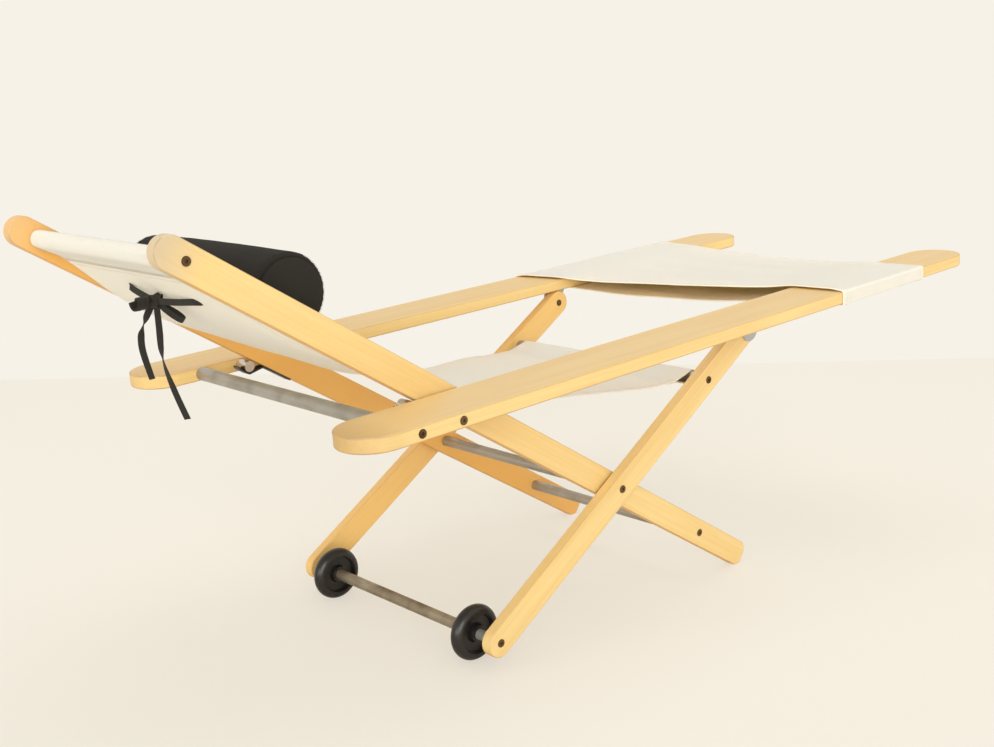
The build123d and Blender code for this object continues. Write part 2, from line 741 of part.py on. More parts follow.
strap_left_route = [(slit_left, 106, -6.6), (58, 103, -10.5), (34, 98, -14.5), (9.9, 93.8, -18)]
strap_right_route = [
    (slit_right, 84, -6.6),
    (-86, 86, -11),
    (-60, 87, -15),
    (-34, 89, -18),
    (-10.2, 90.9, -19),
]
tail_left_route = [(-7.4, -6.9, -1.4), (-24, -34, -3), (-28, -62, -4), (-23, -90, -5), (-15, -119, -6)]
tail_right_route = [
    (2.6, -9.7, 1.9),
    (5, -41, 5),
    (5, -70, 7),
    (9, -97, 8),
    (18, -125, 8),
    (27, -152, 7),
    (38, -181, 6),
]

for name, route in (("tie_strap_left", strap_left_route), ("tie_strap_right", strap_right_route)):
    add(name, cord_solid(name, [sheet_point(*place) for place in route]))
for name, route in (("tie_tail_left", tail_left_route), ("tie_tail_right", tail_right_route)):
    add(name, cord_solid(name, [bow_point(*place) for place in route]))


def loop_solid(slope_degrees, length, round_radius, out):
    """One loop of the bow: a drop-shaped band as wide as the tape."""
    reach = length - knot_radius - face_gap - tape_thickness
    band = drop_face(round_radius, reach, tape_thickness)
    inside = drop_face(round_radius - tape_thickness, reach - 3 * tape_thickness, tape_thickness / 4)
    solid = extrude(band - inside, tape_width / 2, both=True)
    slope = radians(slope_degrees)
    outward = bow_level * cos(slope) + Vector(0, 0, sin(slope))
    origin = knot_place + outward * length + bow_out * out
    return Plane(origin=origin, x_dir=-outward, z_dir=bow_out) * solid


loops = (
    ("tie_loop_left", loop_slope_left_degrees, loop_length_left, loop_round_left, loop_out_left),
    ("tie_loop_right", loop_slope_right_degrees, loop_length_right, loop_round_right, loop_out_right),
)
for name, *sizes in loops:
    add(name, loop_solid(*sizes))

os.makedirs("parts", exist_ok=True)
for name, shape in nodes.items():
    export_step(shape, f"parts/{name}.step")
print(len(nodes), "nodes, shift", round(shift_y, 3))
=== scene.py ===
# %% [markdown]
# # An outdoor chaise lounge in beech and canvas
# The frame of this chair comes from a CAD model: rails, legs, boards, tubes, bolts and wheels are
# already exact solids. Blender gives it what CAD can't: wood with grain and worn edges, canvas that
# hangs and creases, a stuffed bolster, and a bow of flat tape. Every piece stays in metres, in the
# frame of the CAD model, and all but the sling and its stitches ride on one of its moving bodies.

# %% Load the frame
from math import asin, atan2, cos, exp, hypot, pi, radians, sin

import bpy
import numpy as np
from mathutils import Matrix, Vector, noise


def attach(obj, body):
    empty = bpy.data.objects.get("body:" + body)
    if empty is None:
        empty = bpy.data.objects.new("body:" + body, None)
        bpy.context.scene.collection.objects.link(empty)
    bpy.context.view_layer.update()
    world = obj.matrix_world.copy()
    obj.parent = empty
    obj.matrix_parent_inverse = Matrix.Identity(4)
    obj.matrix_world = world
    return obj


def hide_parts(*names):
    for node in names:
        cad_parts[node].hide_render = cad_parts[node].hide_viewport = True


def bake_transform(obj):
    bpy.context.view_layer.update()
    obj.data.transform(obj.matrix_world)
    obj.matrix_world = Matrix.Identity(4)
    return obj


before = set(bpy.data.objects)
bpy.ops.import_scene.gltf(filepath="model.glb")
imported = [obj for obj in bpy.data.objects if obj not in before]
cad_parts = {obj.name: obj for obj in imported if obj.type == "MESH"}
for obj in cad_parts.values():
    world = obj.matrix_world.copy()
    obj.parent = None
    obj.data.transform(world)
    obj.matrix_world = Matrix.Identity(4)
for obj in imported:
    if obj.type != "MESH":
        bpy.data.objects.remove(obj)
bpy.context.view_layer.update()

# %% [markdown]
# ## The camera
# The camera was solved from straight edges of the frame in the photograph, so that a bolt lands on its
# own bolt. Yaw, pitch and roll say how the photographer held it. Building the three axes by hand is
# safer than Euler angles, because nothing depends on their order.

# %% Camera
view_width = 994
focal_in_pixels = 1289.3
camera_place = Vector((-1.7873, 1.7723, 0.9577))
yaw, pitch, roll = radians(132.35444), radians(-12.10122), radians(-1.29683)
ahead = Vector((sin(yaw) * cos(pitch), cos(yaw) * cos(pitch), sin(pitch)))
level_right = ahead.cross(Vector((0, 0, 1))).normalized()
level_up = level_right.cross(ahead)
camera_right = level_right * cos(roll) + level_up * sin(roll)
camera_up = level_up * cos(roll) - level_right * sin(roll)
camera_data = bpy.data.cameras.new("camera")
camera_data.sensor_width = 36
camera_data.lens = focal_in_pixels * camera_data.sensor_width / view_width
camera = bpy.data.objects.new("camera", camera_data)
bpy.context.scene.collection.objects.link(camera)
axes = Matrix((camera_right, camera_up, -ahead)).transposed()
camera.matrix_world = Matrix.Translation(camera_place) @ axes.to_4x4()
bpy.context.scene.camera = camera
print("lens", round(camera_data.lens, 2), "mm")

# %% [markdown]
# ## Small helpers
# Every piece that is made here is a mesh whose points are already in their final place. One helper
# turns points and faces into an object, and another makes the faces between the points of a grid. A
# smooth step fades an effect in, and a window fades it in and out again.

# %% Mesh helpers
def mesh_piece(name, points, faces, material=None, uvs=None):
    """An object from points and faces, smooth, with one UV pair for each point."""
    mesh = bpy.data.meshes.new(name)
    mesh.from_pydata([tuple(p) for p in points], [], faces)
    if uvs is not None:
        layer = mesh.uv_layers.new(name="cloth")
        corners = np.zeros(len(mesh.loops), np.int32)
        mesh.loops.foreach_get("vertex_index", corners)
        layer.data.foreach_set("uv", np.asarray(uvs, np.float32)[corners].ravel())
    mesh.polygons.foreach_set("use_smooth", [True] * len(mesh.polygons))
    mesh.update()
    piece = bpy.data.objects.new(name, mesh)
    bpy.context.scene.collection.objects.link(piece)
    if material:
        mesh.materials.append(material)
    return piece


def grid_faces(rows, columns, start=0, round_columns=False, turned=False):
    """The quads between the points of a grid, row by row."""
    faces = []
    for row in range(rows - 1):
        for column in range(columns if round_columns else columns - 1):
            beside = (column + 1) % columns
            a, b = start + row * columns + column, start + row * columns + beside
            quad = (a, b, b + columns, a + columns)
            faces.append(quad[::-1] if turned else quad)
    return faces


def smoothstep(low, high, value):
    share = min(max((value - low) / (high - low), 0), 1)
    return share * share * (3 - 2 * share)


def window(value, rise_from, rise_to, fall_from, fall_to):
    """0 outside, 1 between rise_to and fall_from."""
    return smoothstep(rise_from, rise_to, value) * smoothstep(fall_to, fall_from, value)


def running_length(points):
    """The length of a line up to each of its points."""
    found = [0.0]
    for a, b in zip(points, points[1:]):
        found.append(found[-1] + (b - a).length)
    return found


# %% [markdown]
# ## The ties: a route first, then a ribbon along it
# The bolster is held by two flat tapes, which go through slits in the sling and are tied in a bow
# behind it. A tape is a cord whose section is flat. Its route is a NURBS curve through a few control
# points, and `new_from_object` on a curve with no bevel gives the points of the smooth line. The
# order of the spline has to be set after its points, or Blender leaves it at straight runs.

# %% Routes of the tapes
tape_width = 0.0105
tape_thickness = 0.0016
tape_front_left = [
    (0.081, 0.7775, 0.6357), (0.081, 0.8067, 0.6569), (0.081, 0.8290, 0.6760), (0.081, 0.8390, 0.6835),
]
tape_front_right = [(-0.111, 0.7775, 0.6357), (-0.111, 0.8067, 0.6569), (-0.111, 0.8210, 0.6690)]
strap_left_route = [
    (0.0750, 0.847286, 0.6825), (0.058, 0.847539, 0.677273), (0.034, 0.846335, 0.671984),
    (0.0060, 0.845215, 0.6662),
]
strap_right_route = [
    (-0.1085, 0.8335, 0.6733), (-0.086, 0.8376, 0.6712), (-0.06, 0.8400, 0.6687),
    (-0.034, 0.8425, 0.6672), (-0.0060, 0.8441, 0.6659),
]
tail_left_route = [
    (0.0045, 0.8475, 0.6600), (0.018399, 0.860092, 0.627406), (0.021834, 0.862371, 0.599406),
    (0.019201, 0.858005, 0.571406), (0.014545, 0.851423, 0.542406),
]
tail_right_route = [
    (-0.003156, 0.8440, 0.6592), (-0.007064, 0.844071, 0.620406), (-0.008541, 0.845420, 0.591406),
    (-0.011976, 0.843140, 0.564406), (-0.018045, 0.836494, 0.536406), (-0.023375, 0.829174, 0.509406),
    (-0.030054, 0.820376, 0.480406),
]


def route_line(route):
    """The points of the smooth NURBS line through a route, and its length."""
    curve = bpy.data.curves.new("route", "CURVE")
    curve.dimensions = "3D"
    spline = curve.splines.new("NURBS")
    spline.points.add(len(route) - 1)
    for point, place in zip(spline.points, route):
        point.co = (*place, 1)
    spline.order_u = 3
    spline.use_endpoint_u = True
    spline.resolution_u = 12
    carrier = bpy.data.objects.new("route", curve)
    mesh = bpy.data.meshes.new_from_object(carrier)
    line = [v.co.copy() for v in mesh.vertices]
    bpy.data.objects.remove(carrier)
    bpy.data.curves.remove(curve)
    bpy.data.meshes.remove(mesh)
    return line, running_length(line)[-1]


strap_left_line, strap_left_length = route_line(tape_front_left + strap_left_route)
strap_right_line, strap_right_length = route_line(tape_front_right + strap_right_route)
tail_left_line, tail_left_length = route_line(tail_left_route)
tail_right_line, tail_right_length = route_line(tail_right_route)
tape_lengths = (strap_left_length, strap_right_length, tail_left_length, tail_right_length)
print("tapes", [round(x, 4) for x in tape_lengths])

# %% [markdown]
# ## Shader helpers
# A node tree in code is a list of nodes and links, so a few small helpers keep the materials readable:
# one adds a node with its values, and the others stand for a sum, a colour mix, a change of range and
# one axis of a vector.

# %% Shader helpers
def add_node(tree, kind, inputs=(), **settings):
    """A node, with its settings, and its inputs given as values or as sockets to link."""
    made = tree.nodes.new(kind)
    for key, value in settings.items():
        setattr(made, key, value)
    for key, value in dict(inputs).items():
        if isinstance(value, bpy.types.NodeSocket):
            tree.links.new(value, made.inputs[key])
        else:
            made.inputs[key].default_value = value
    return made


def maths(tree, operation, a, b=0.5):
    return add_node(tree, "ShaderNodeMath", {0: a, 1: b}, operation=operation).outputs[0]


def product(tree, a, b):
    return maths(tree, "MULTIPLY", a, b)


def mixed(tree, share, a, b):
    return add_node(tree, "ShaderNodeMix", {0: share, 6: a, 7: b}, data_type="RGBA").outputs[2]


def ranged(tree, value, low, high, to_low=0.0, to_high=1.0):
    sockets = {"Value": value, "From Min": low, "From Max": high, "To Min": to_low, "To Max": to_high}
    return add_node(tree, "ShaderNodeMapRange", sockets).outputs[0]


def axis_of(tree, vector, index):
    return add_node(tree, "ShaderNodeSeparateXYZ", {0: vector}).outputs[index]


def noise_of(tree, vector, scale, detail=2.0):
    sockets = {"Vector": vector, "Scale": scale, "Detail": detail}
    return add_node(tree, "ShaderNodeTexNoise", sockets).outputs["Fac"]


def stretched_noise(tree, vector, sizes, detail):
    """Noise of a vector that is scaled by its own amount on each axis."""
    scaled = add_node(tree, "ShaderNodeVectorMath", {0: vector, 1: sizes}, operation="MULTIPLY")
    return noise_of(tree, scaled.outputs[0], 1.0, detail)


def surface_normal(tree):
    return add_node(tree, "ShaderNodeNewGeometry").outputs["Normal"]


def object_place(tree):
    return add_node(tree, "ShaderNodeTexCoord").outputs["Object"]


def new_group(name, inputs, outputs):
    """A shader node group with named sockets: its tree, what comes in, and what goes out."""
    tree = bpy.data.node_groups.new(name, "ShaderNodeTree")
    for in_out, sockets in (("INPUT", inputs), ("OUTPUT", outputs)):
        for label, kind in sockets.items():
            tree.interface.new_socket(name=label, in_out=in_out, socket_type="NodeSocket" + kind)
    return tree, tree.nodes.new("NodeGroupInput").outputs, tree.nodes.new("NodeGroupOutput").inputs


def use_group(tree, group, **inputs):
    return add_node(tree, "ShaderNodeGroup", inputs, node_tree=group).outputs


# %% [markdown]
# ## Effects that several materials share
# Wood grain is noise that is stretched along the board: broad bands, narrow streaks, and the short
# dark flecks that tell beech from other woods. Edge wear needs a mask of the eased edges. On a flat
# board they are the only places where the surface faces neither straight up nor straight out, so
# the normal itself gives the mask, and no bevel or baking is needed.

# %% Wood grain group
def build_grain_group():
    inputs = {"Vector": "Vector", "Light": "Color", "Dark": "Color", "Streak": "Float"}
    outputs = {"Color": "Color", "Height": "Float", "Mask": "Float"}
    tree, given, made = new_group("wood grain", inputs, outputs)
    bands = stretched_noise(tree, given["Vector"], (30, 1.3, 30), 3.0)
    streaks = stretched_noise(tree, given["Vector"], (210, 5, 210), 4.0)
    flecks = stretched_noise(tree, given["Vector"], (1300, 260, 1300), 1.0)
    fleck_mask = ranged(tree, flecks, 0.58, 0.68)
    streak_share = product(tree, ranged(tree, streaks, 0.35, 0.7), given["Streak"])
    share = maths(tree, "ADD", product(tree, ranged(tree, bands, 0.35, 0.68), 0.45), streak_share)
    colour = mixed(tree, share, given["Light"], given["Dark"])
    flecked = mixed(tree, product(tree, fleck_mask, 0.3), colour, given["Dark"])
    height = maths(tree, "SUBTRACT", product(tree, streaks, 0.6), product(tree, fleck_mask, 0.4))
    tree.links.new(flecked, made["Color"])
    tree.links.new(height, made["Height"])
    tree.links.new(share, made["Mask"])
    return tree


# %% Edge wear group
def build_wear_group():
    """Where the surface turns from a board's face to its edge, whole and broken up by noise."""
    inputs = {"Vector": "Vector", "Face": "Vector", "Scale": "Float", "Amount": "Float"}
    tree, given, made = new_group("edge wear", inputs, {"Mask": "Float", "Edge": "Float"})
    sides = {0: surface_normal(tree), 1: given["Face"]}
    facing = add_node(tree, "ShaderNodeVectorMath", sides, operation="DOT_PRODUCT")
    flat = maths(tree, "ABSOLUTE", facing.outputs["Value"], 0.0)
    turned = product(tree, ranged(tree, flat, 0.05, 0.3), ranged(tree, flat, 0.995, 0.9))
    broken = ranged(tree, noise_of(tree, given["Vector"], given["Scale"], 4.0), 0.42, 0.62)
    tree.links.new(product(tree, product(tree, turned, broken), given["Amount"]), made["Mask"])
    tree.links.new(turned, made["Edge"])
    return tree


# %% [markdown]
# A woven cloth is a checkerboard of threads that go over and under each other. Each thread is a small
# arch, made with the sine of the distance across it, and the checker says which of the two threads is
# on top. The same group makes the bolster's cloth and the ribbed tape, with other thread counts.

# %% Weave group
def build_weave_group():
    inputs = {"Vector": "Vector", "Threads": "Float"}
    tree, given, made = new_group("weave", inputs, {"Height": "Float", "Shade": "Float"})
    sides = {0: given["Vector"], "Scale": given["Threads"]}
    place = add_node(tree, "ShaderNodeVectorMath", sides, operation="SCALE").outputs[0]
    arches = []
    for axis in (0, 1):
        wave = maths(tree, "SINE", product(tree, axis_of(tree, place, axis), pi))
        arches.append(maths(tree, "ABSOLUTE", wave, 0.0))
    checker = add_node(tree, "ShaderNodeTexChecker", {"Vector": place, "Scale": 1.0}).outputs["Fac"]
    over = add_node(tree, "ShaderNodeMix", {0: checker, 2: arches[0], 3: arches[1]}).outputs[0]
    thick = stretched_noise(tree, given["Vector"], (90, 1800, 0), 1.0)
    wide = stretched_noise(tree, given["Vector"], (1800, 90, 0), 1.0)
    height = maths(tree, "ADD", over, product(tree, maths(tree, "ADD", thick, wide), 0.35))
    tree.links.new(height, made["Height"])
    tree.links.new(product(tree, height, 0.6), made["Shade"])
    return tree


# %% Patina group, for patches of dirt and fading
def build_patina_group():
    """Soft uneven patches: faded wood, dust in cloth, dull places on steel."""
    inputs = {"Vector": "Vector", "Scale": "Float", "Amount": "Float"}
    tree, given, made = new_group("patina", inputs, {"Mask": "Float"})
    broad = ranged(tree, noise_of(tree, given["Vector"], given["Scale"], 3.0), 0.4, 0.7)
    tree.links.new(product(tree, broad, given["Amount"]), made["Mask"])
    return tree


grain_group, wear_group = build_grain_group(), build_wear_group()
weave_group, patina_group = build_weave_group(), build_patina_group()
print("groups:", [group.name for group in (grain_group, wear_group, weave_group, patina_group)])


# %% A material with its surface shader ready
def new_material(name, values):
    """A material, its tree and its Principled BSDF, with plain values set on the shader's own sockets."""
    material = bpy.data.materials.new(name)
    material.use_nodes = True
    tree = material.node_tree
    shader = tree.nodes["Principled BSDF"]
    for key, value in values.items():
        shader.inputs[key].default_value = value
    return material, tree, shader


def bump(tree, shader, height, strength, distance):
    node = add_node(tree, "ShaderNodeBump", {"Height": height, "Strength": strength, "Distance": distance})
    tree.links.new(node.outputs[0], shader.inputs["Normal"])


def surface(tree, shader, colour, rough=None):
    """Link what varies over the surface: its colour, and its roughness where that isn't plain."""
    tree.links.new(colour, shader.inputs["Base Color"])
    if rough:
        tree.links.new(rough, shader.inputs["Roughness"])


# %% [markdown]
# ## Beech
# The boards are lacquered beech that has gone honey yellow outdoors. Rails, legs and boards lean at
# their own angles, so a Mapping node turns the pattern until its y axis runs along the piece. Tops
# are mixed towards a duller tan, partly sun fading and partly painted shade, undersides get a deeper
# orange that is painted shade, and the chair's left side, the far side, gets painted shade too.
# The ends that get knocked, behind the armrests and at the head, are dull and brown or grey.

# %% Beech
beech_light, beech_dark = (0.84, 0.63, 0.27, 1), (0.72, 0.48, 0.17, 1)
# Painted shade for the chair's left side, the far side, which lies in shade: a paler and a deeper one.
beech_left_shade, beech_left_deep_shade = (0.84, 0.49, 0.13, 1), (0.82, 0.41, 0.075, 1)
# The first takes broad faded patches and the tops, which are partly sun fading and partly painted shade; the
# second is painted shade on the undersides.
beech_faded_and_top_shade, beech_underside_shade = (0.70, 0.48, 0.21, 1), (0.72, 0.37, 0.09, 1)
beech_bare, edge_brown = (0.38, 0.29, 0.18, 1), (0.42, 0.22, 0.07, 1)
end_tan, end_grey = (0.46, 0.275, 0.10, 1), (0.60, 0.48, 0.31, 1)


def beech(name, slope_degrees, face, end_span, top_fade_and_shade, end_colour, left_shade_colour, left_shade_share):
    """Beech whose grain runs along a piece at this slope, and which is dull past the start of end_span."""
    values = {"Roughness": 0.42, "Coat Weight": 0.12, "Coat Roughness": 0.35}
    material, tree, shader = new_material(name, values)
    place = object_place(tree)
    turn = {"Vector": place, "Rotation": (radians(slope_degrees), 0, 0)}
    along = add_node(tree, "ShaderNodeMapping", turn).outputs[0]
    across_chair = axis_of(tree, place, 0)
    upward = axis_of(tree, surface_normal(tree), 2)
    grain = use_group(tree, grain_group, Vector=along, Light=beech_light, Dark=beech_dark, Streak=0.4)
    # Painted shade on the chair's left side, strongest on the far rail.
    left = ranged(tree, across_chair, -0.1, 0.1, 0.0, left_shade_share)
    left_shaded = mixed(tree, left, grain["Color"], left_shade_colour)
    faded = use_group(tree, patina_group, Vector=along, Scale=4.0, Amount=0.2)["Mask"]
    # Tops: partly sun fading, partly painted shade.
    top = product(tree, ranged(tree, upward, 0.7, 1.0), top_fade_and_shade)
    pale = mixed(tree, maths(tree, "ADD", faded, top), left_shaded, beech_faded_and_top_shade)
    # Painted shade on the faces that turn downwards.
    underside_shaded = mixed(tree, ranged(tree, upward, -0.15, -0.7, 0.0, 0.75), pale, beech_underside_shade)
    near_end = ranged(tree, axis_of(tree, along, 1), *end_span)
    edges = use_group(tree, wear_group, Vector=along, Face=face, Scale=38.0, Amount=1.0)
    outlined = mixed(tree, product(tree, edges["Edge"], 0.32), underside_shaded, edge_brown)
    amount = maths(tree, "ADD", product(tree, near_end, 0.8), 0.1)
    worn = product(tree, edges["Mask"], amount)
    knocked = product(tree, near_end, ranged(tree, across_chair, 0.2, -0.2, 0.35, 0.9))
    dulled = mixed(tree, knocked, outlined, end_colour)
    rough = ranged(tree, maths(tree, "ADD", worn, grain["Mask"]), 0.0, 1.4, 0.36, 0.72)
    surface(tree, shader, mixed(tree, worn, dulled, beech_bare), rough)
    bump(tree, shader, grain["Height"], 0.25, 0.0003)
    return material


side_face, board_face = (1, 0, 0), (0, 0.06224, 0.99806)
beech_rails = beech("beech rails", -30.912, side_face, (1.15, 1.22), 0.3, end_grey, beech_left_deep_shade, 0.85)
beech_legs = beech("beech legs", 33.5, side_face, (0.36, 0.44), 0.2, end_grey, beech_left_shade, 0.6)
beech_boards = beech("beech boards", 3.5685, board_face, (0.62, 0.74), 0.6, end_tan, beech_left_shade, 0.1)
print("beech for rails, legs and boards")

# %% [markdown]
# ## Canvas, bolster cloth and tape
# The canvas is a plain weave of thick natural cotton, the bolster's cloth is finer and nearly black,
# and the tape is ribbed. All three read their own UV map, which is in metres along the threads, so
# the weave bends with the cloth. A little sheen gives the soft rim that cotton has, and the canvas
# lets some light through. The inner skin of a lined sheet has its UV map moved aside, which tells it
# from the outer one, and it is given a warm tan that is painted shade.

# %% Cloth materials
lined_aside = 10.0
cotton_glow = {"Subsurface Weight": 0.55, "Subsurface Radius": (1.0, 0.85, 0.6), "Subsurface Scale": 0.006}


def cloth_material(name, light, dark, threads, depth, sheen, rough, patches, inside=None):
    values = {
        "Roughness": rough, "Sheen Weight": sheen, "Sheen Roughness": 0.5, "Specular IOR Level": 0.2,
        **(cotton_glow if inside else {}),
    }
    material, tree, shader = new_material(name, values)
    sheet_place = add_node(tree, "ShaderNodeUVMap", uv_map="cloth").outputs[0]
    weave = use_group(tree, weave_group, Vector=sheet_place, Threads=threads)
    patch = use_group(tree, patina_group, Vector=object_place(tree), Scale=5.0, Amount=patches)["Mask"]
    colour = mixed(tree, ranged(tree, weave["Shade"], 0.15, 0.75), dark, light)
    cloth_colour = mixed(tree, patch, colour, dark)
    if inside:
        # The inner skin gets the inside colour, which is painted shade.
        inner = ranged(tree, axis_of(tree, sheet_place, 0), 0.4 * lined_aside, 0.5 * lined_aside)
        cloth_colour = mixed(tree, inner, cloth_colour, inside)
    surface(tree, shader, cloth_colour)
    bump(tree, shader, weave["Height"], 0.5, depth)
    return material


canvas_light, canvas_dark = (0.87, 0.82, 0.71, 1), (0.77, 0.70, 0.57, 1)
# The inside colour is painted shade: the dim inside of the leg-rest tube, warmed by bounce from the boards.
canvas_inside_shade = (0.90, 0.72, 0.47, 1)
soft_black = (0.030, 0.027, 0.022, 1)
roll_dark, tape_dark = (0.014, 0.013, 0.011, 1), (0.012, 0.011, 0.009, 1)
thread_dark, thread_light = (0.62, 0.56, 0.46, 1), (0.80, 0.75, 0.66, 1)
canvas = cloth_material(
    "canvas", canvas_light, canvas_dark, 1100.0, 0.0005, 0.15, 0.85, 0.15, canvas_inside_shade
)
bolster_cloth = cloth_material("bolster cloth", soft_black, roll_dark, 1500.0, 0.0004, 0.0, 0.95, 0.3)
tie_tape = cloth_material("tie tape", soft_black, tape_dark, 1400.0, 0.0005, 0.08, 0.8, 0.3)
thread, thread_tree, thread_shader = new_material("sewing thread", {"Roughness": 0.7})
thread_noise = noise_of(thread_tree, object_place(thread_tree), 900.0)
thread_colour = mixed(thread_tree, thread_noise, thread_dark, thread_light)
surface(thread_tree, thread_shader, thread_colour)
print("cloths: canvas, bolster, tape and thread")

# %% [markdown]
# ## Metal and plastic
# Outdoor steel is never even. A fine noise along the tube breaks up its gloss, and broad patches
# dull it. The bolts are bronze brown, the studs are bare and shiny, and the wheels are moulded black
# plastic whose gloss comes from a low roughness under a thin coat.

# %% Metal materials
def metal_material(name, colour, dull_colour, metallic, rough_low, rough_high, stretch, patches):
    material, tree, shader = new_material(name, {"Metallic": metallic})
    place = object_place(tree)
    brushed = stretched_noise(tree, place, stretch, 3.0)
    patch = use_group(tree, patina_group, Vector=place, Scale=22.0, Amount=patches)["Mask"]
    shade = mixed(tree, maths(tree, "ADD", product(tree, brushed, 0.35), patch), colour, dull_colour)
    rough = ranged(tree, maths(tree, "ADD", brushed, patch), 0.3, 1.2, rough_low, rough_high)
    surface(tree, shader, shade, rough)
    bump(tree, shader, brushed, 0.15, 0.0002)
    return material


drawn = (9, 260, 260)
metals = {
    "steel tube": ((0.47, 0.45, 0.41, 1), (0.29, 0.26, 0.21, 1), 0.85, 0.33, 0.6, drawn, 0.5),
    "dark steel": ((0.07, 0.065, 0.06, 1), (0.03, 0.025, 0.022, 1), 0.7, 0.35, 0.6, (120, 120, 120), 0.5),
    "zinc steel": ((0.55, 0.57, 0.60, 1), (0.38, 0.38, 0.39, 1), 0.9, 0.3, 0.5, (90, 90, 90), 0.5),
    "stud steel": ((0.72, 0.68, 0.66, 1), (0.55, 0.50, 0.48, 1), 1.0, 0.16, 0.36, drawn, 0.4),
    "bronze bolt": ((0.20, 0.115, 0.055, 1), (0.07, 0.040, 0.022, 1), 0.85, 0.3, 0.6, (300, 300, 300), 0.8),
    "axle steel": ((0.40, 0.35, 0.26, 1), (0.20, 0.15, 0.10, 1), 0.8, 0.35, 0.65, drawn, 0.7),
    "grey nylon": ((0.24, 0.245, 0.225, 1), (0.15, 0.15, 0.13, 1), 0.0, 0.4, 0.6, (200, 200, 200), 0.5),
}
materials = {name: metal_material(name, *values) for name, values in metals.items()}

wheel_gloss = {"Coat Weight": 0.25, "Coat Roughness": 0.2, "Specular IOR Level": 0.35}
wheel_black, wheel_tree, wheel_shader = new_material("wheel black", wheel_gloss)
wheel_place = object_place(wheel_tree)
scuffs = ranged(wheel_tree, stretched_noise(wheel_tree, wheel_place, (60, 160, 160), 3.0), 0.45, 0.75)
dusty = use_group(wheel_tree, patina_group, Vector=wheel_place, Scale=24.0, Amount=0.5)["Mask"]
wheel_colour = mixed(wheel_tree, dusty, (0.009, 0.0085, 0.008, 1), (0.022, 0.020, 0.017, 1))
surface(wheel_tree, wheel_shader, wheel_colour, ranged(wheel_tree, scuffs, 0.0, 1.0, 0.3, 0.45))
bump(wheel_tree, wheel_shader, scuffs, 0.03, 0.0002)
print("metals:", sorted(materials), "and", wheel_black.name)

# %% Finishes of the CAD nodes
finishes = {
    beech_rails: "rail_left rail_right",
    beech_legs: "leg_left leg_right",
    beech_boards: "board_left board_right",
    materials["steel tube"]: "head_bar pivot_tube foot_tube seat_bar cross_tube",
    materials["dark steel"]: "hook_left hook_right hook_screws",
    materials["zinc steel"]: "bracket_left bracket_right bracket_screws pivot_washers "
    "rail_tube_plugs leg_tube_plugs board_tube_plugs",
    materials["stud steel"]: "stud_left stud_right",
    materials["bronze bolt"]: "head_bar_bolts foot_tube_bolts pivot_bolts seat_bar_bolts leg_top_pins "
    "axle_bolts cross_tube_bolts stud_bolts",
    materials["axle steel"]: "axle_rod axle_sleeve",
    wheel_black: "wheel_left wheel_right",
    materials["grey nylon"]: "axle_spacers",
}
for material, names in finishes.items():
    for name in names.split():
        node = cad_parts[name]
        node.data.materials.clear()
        node.data.materials.append(material)
print("finished", sum(len(names.split()) for names in finishes.values()), "CAD nodes")

# %% [markdown]
# ## A sheet of cloth with a thickness
# Cloth here is made as a grid of middle points with a direction out of the cloth at each. The shell
# helper puts one skin on each side and closes the rim. The thickness may change over the grid, which
# is how a folded hem gets to be twice as thick as the field.

# %% Cloth shell
def grid_normals(points, round_columns):
    """The direction out of a grid of points, from its neighbours."""
    if round_columns:
        across = np.roll(points, -1, axis=1) - np.roll(points, 1, axis=1)
    else:
        across = np.gradient(points, axis=1)
    out = np.cross(across, np.gradient(points, axis=0))
    return out / np.linalg.norm(out, axis=2, keepdims=True)


def cloth_shell(name, points, lift, drop, uvs, material, round_columns=False, lined=False):
    """A closed shell: the outer skin is lift above the points, the inner one drop below them."""
    rows, columns, _ = points.shape
    normals = grid_normals(points, round_columns)
    outer = (points + normals * lift[..., None]).reshape(-1, 3)
    inner = (points - normals * drop[..., None]).reshape(-1, 3)
    count = rows * columns
    faces = grid_faces(rows, columns, 0, round_columns)
    faces += grid_faces(rows, columns, count, round_columns, turned=True)
    rims = [list(range(columns)), list(range((rows - 1) * columns, count))]
    if round_columns:
        rims[0].append(0)
        rims[1].append((rows - 1) * columns)
    else:
        rims += [[r * columns for r in range(rows)], [r * columns + columns - 1 for r in range(rows)]]
    for index, rim in enumerate(rims):
        for a, b in zip(rim, rim[1:]):
            quad = (a, a + count, b + count, b)
            faces.append(quad if index in (0, 3) else quad[::-1])
    flat_uvs = uvs.reshape(-1, 2)
    inner_uvs = flat_uvs + (lined_aside if lined else 0.0, 0.0)
    return mesh_piece(name, np.vstack([outer, inner]), faces, material, np.vstack([flat_uvs, inner_uvs]))


# %% [markdown]
# ## Stitches with Geometry Nodes
# A row of stitches follows a seam, so it is a job for Geometry Nodes: the seam's edges become a curve,
# points are set along it at the stitch step, and a small spindle is placed on each. The tree ends in
# Realize Instances and Set Material, and the result is baked to a plain mesh.

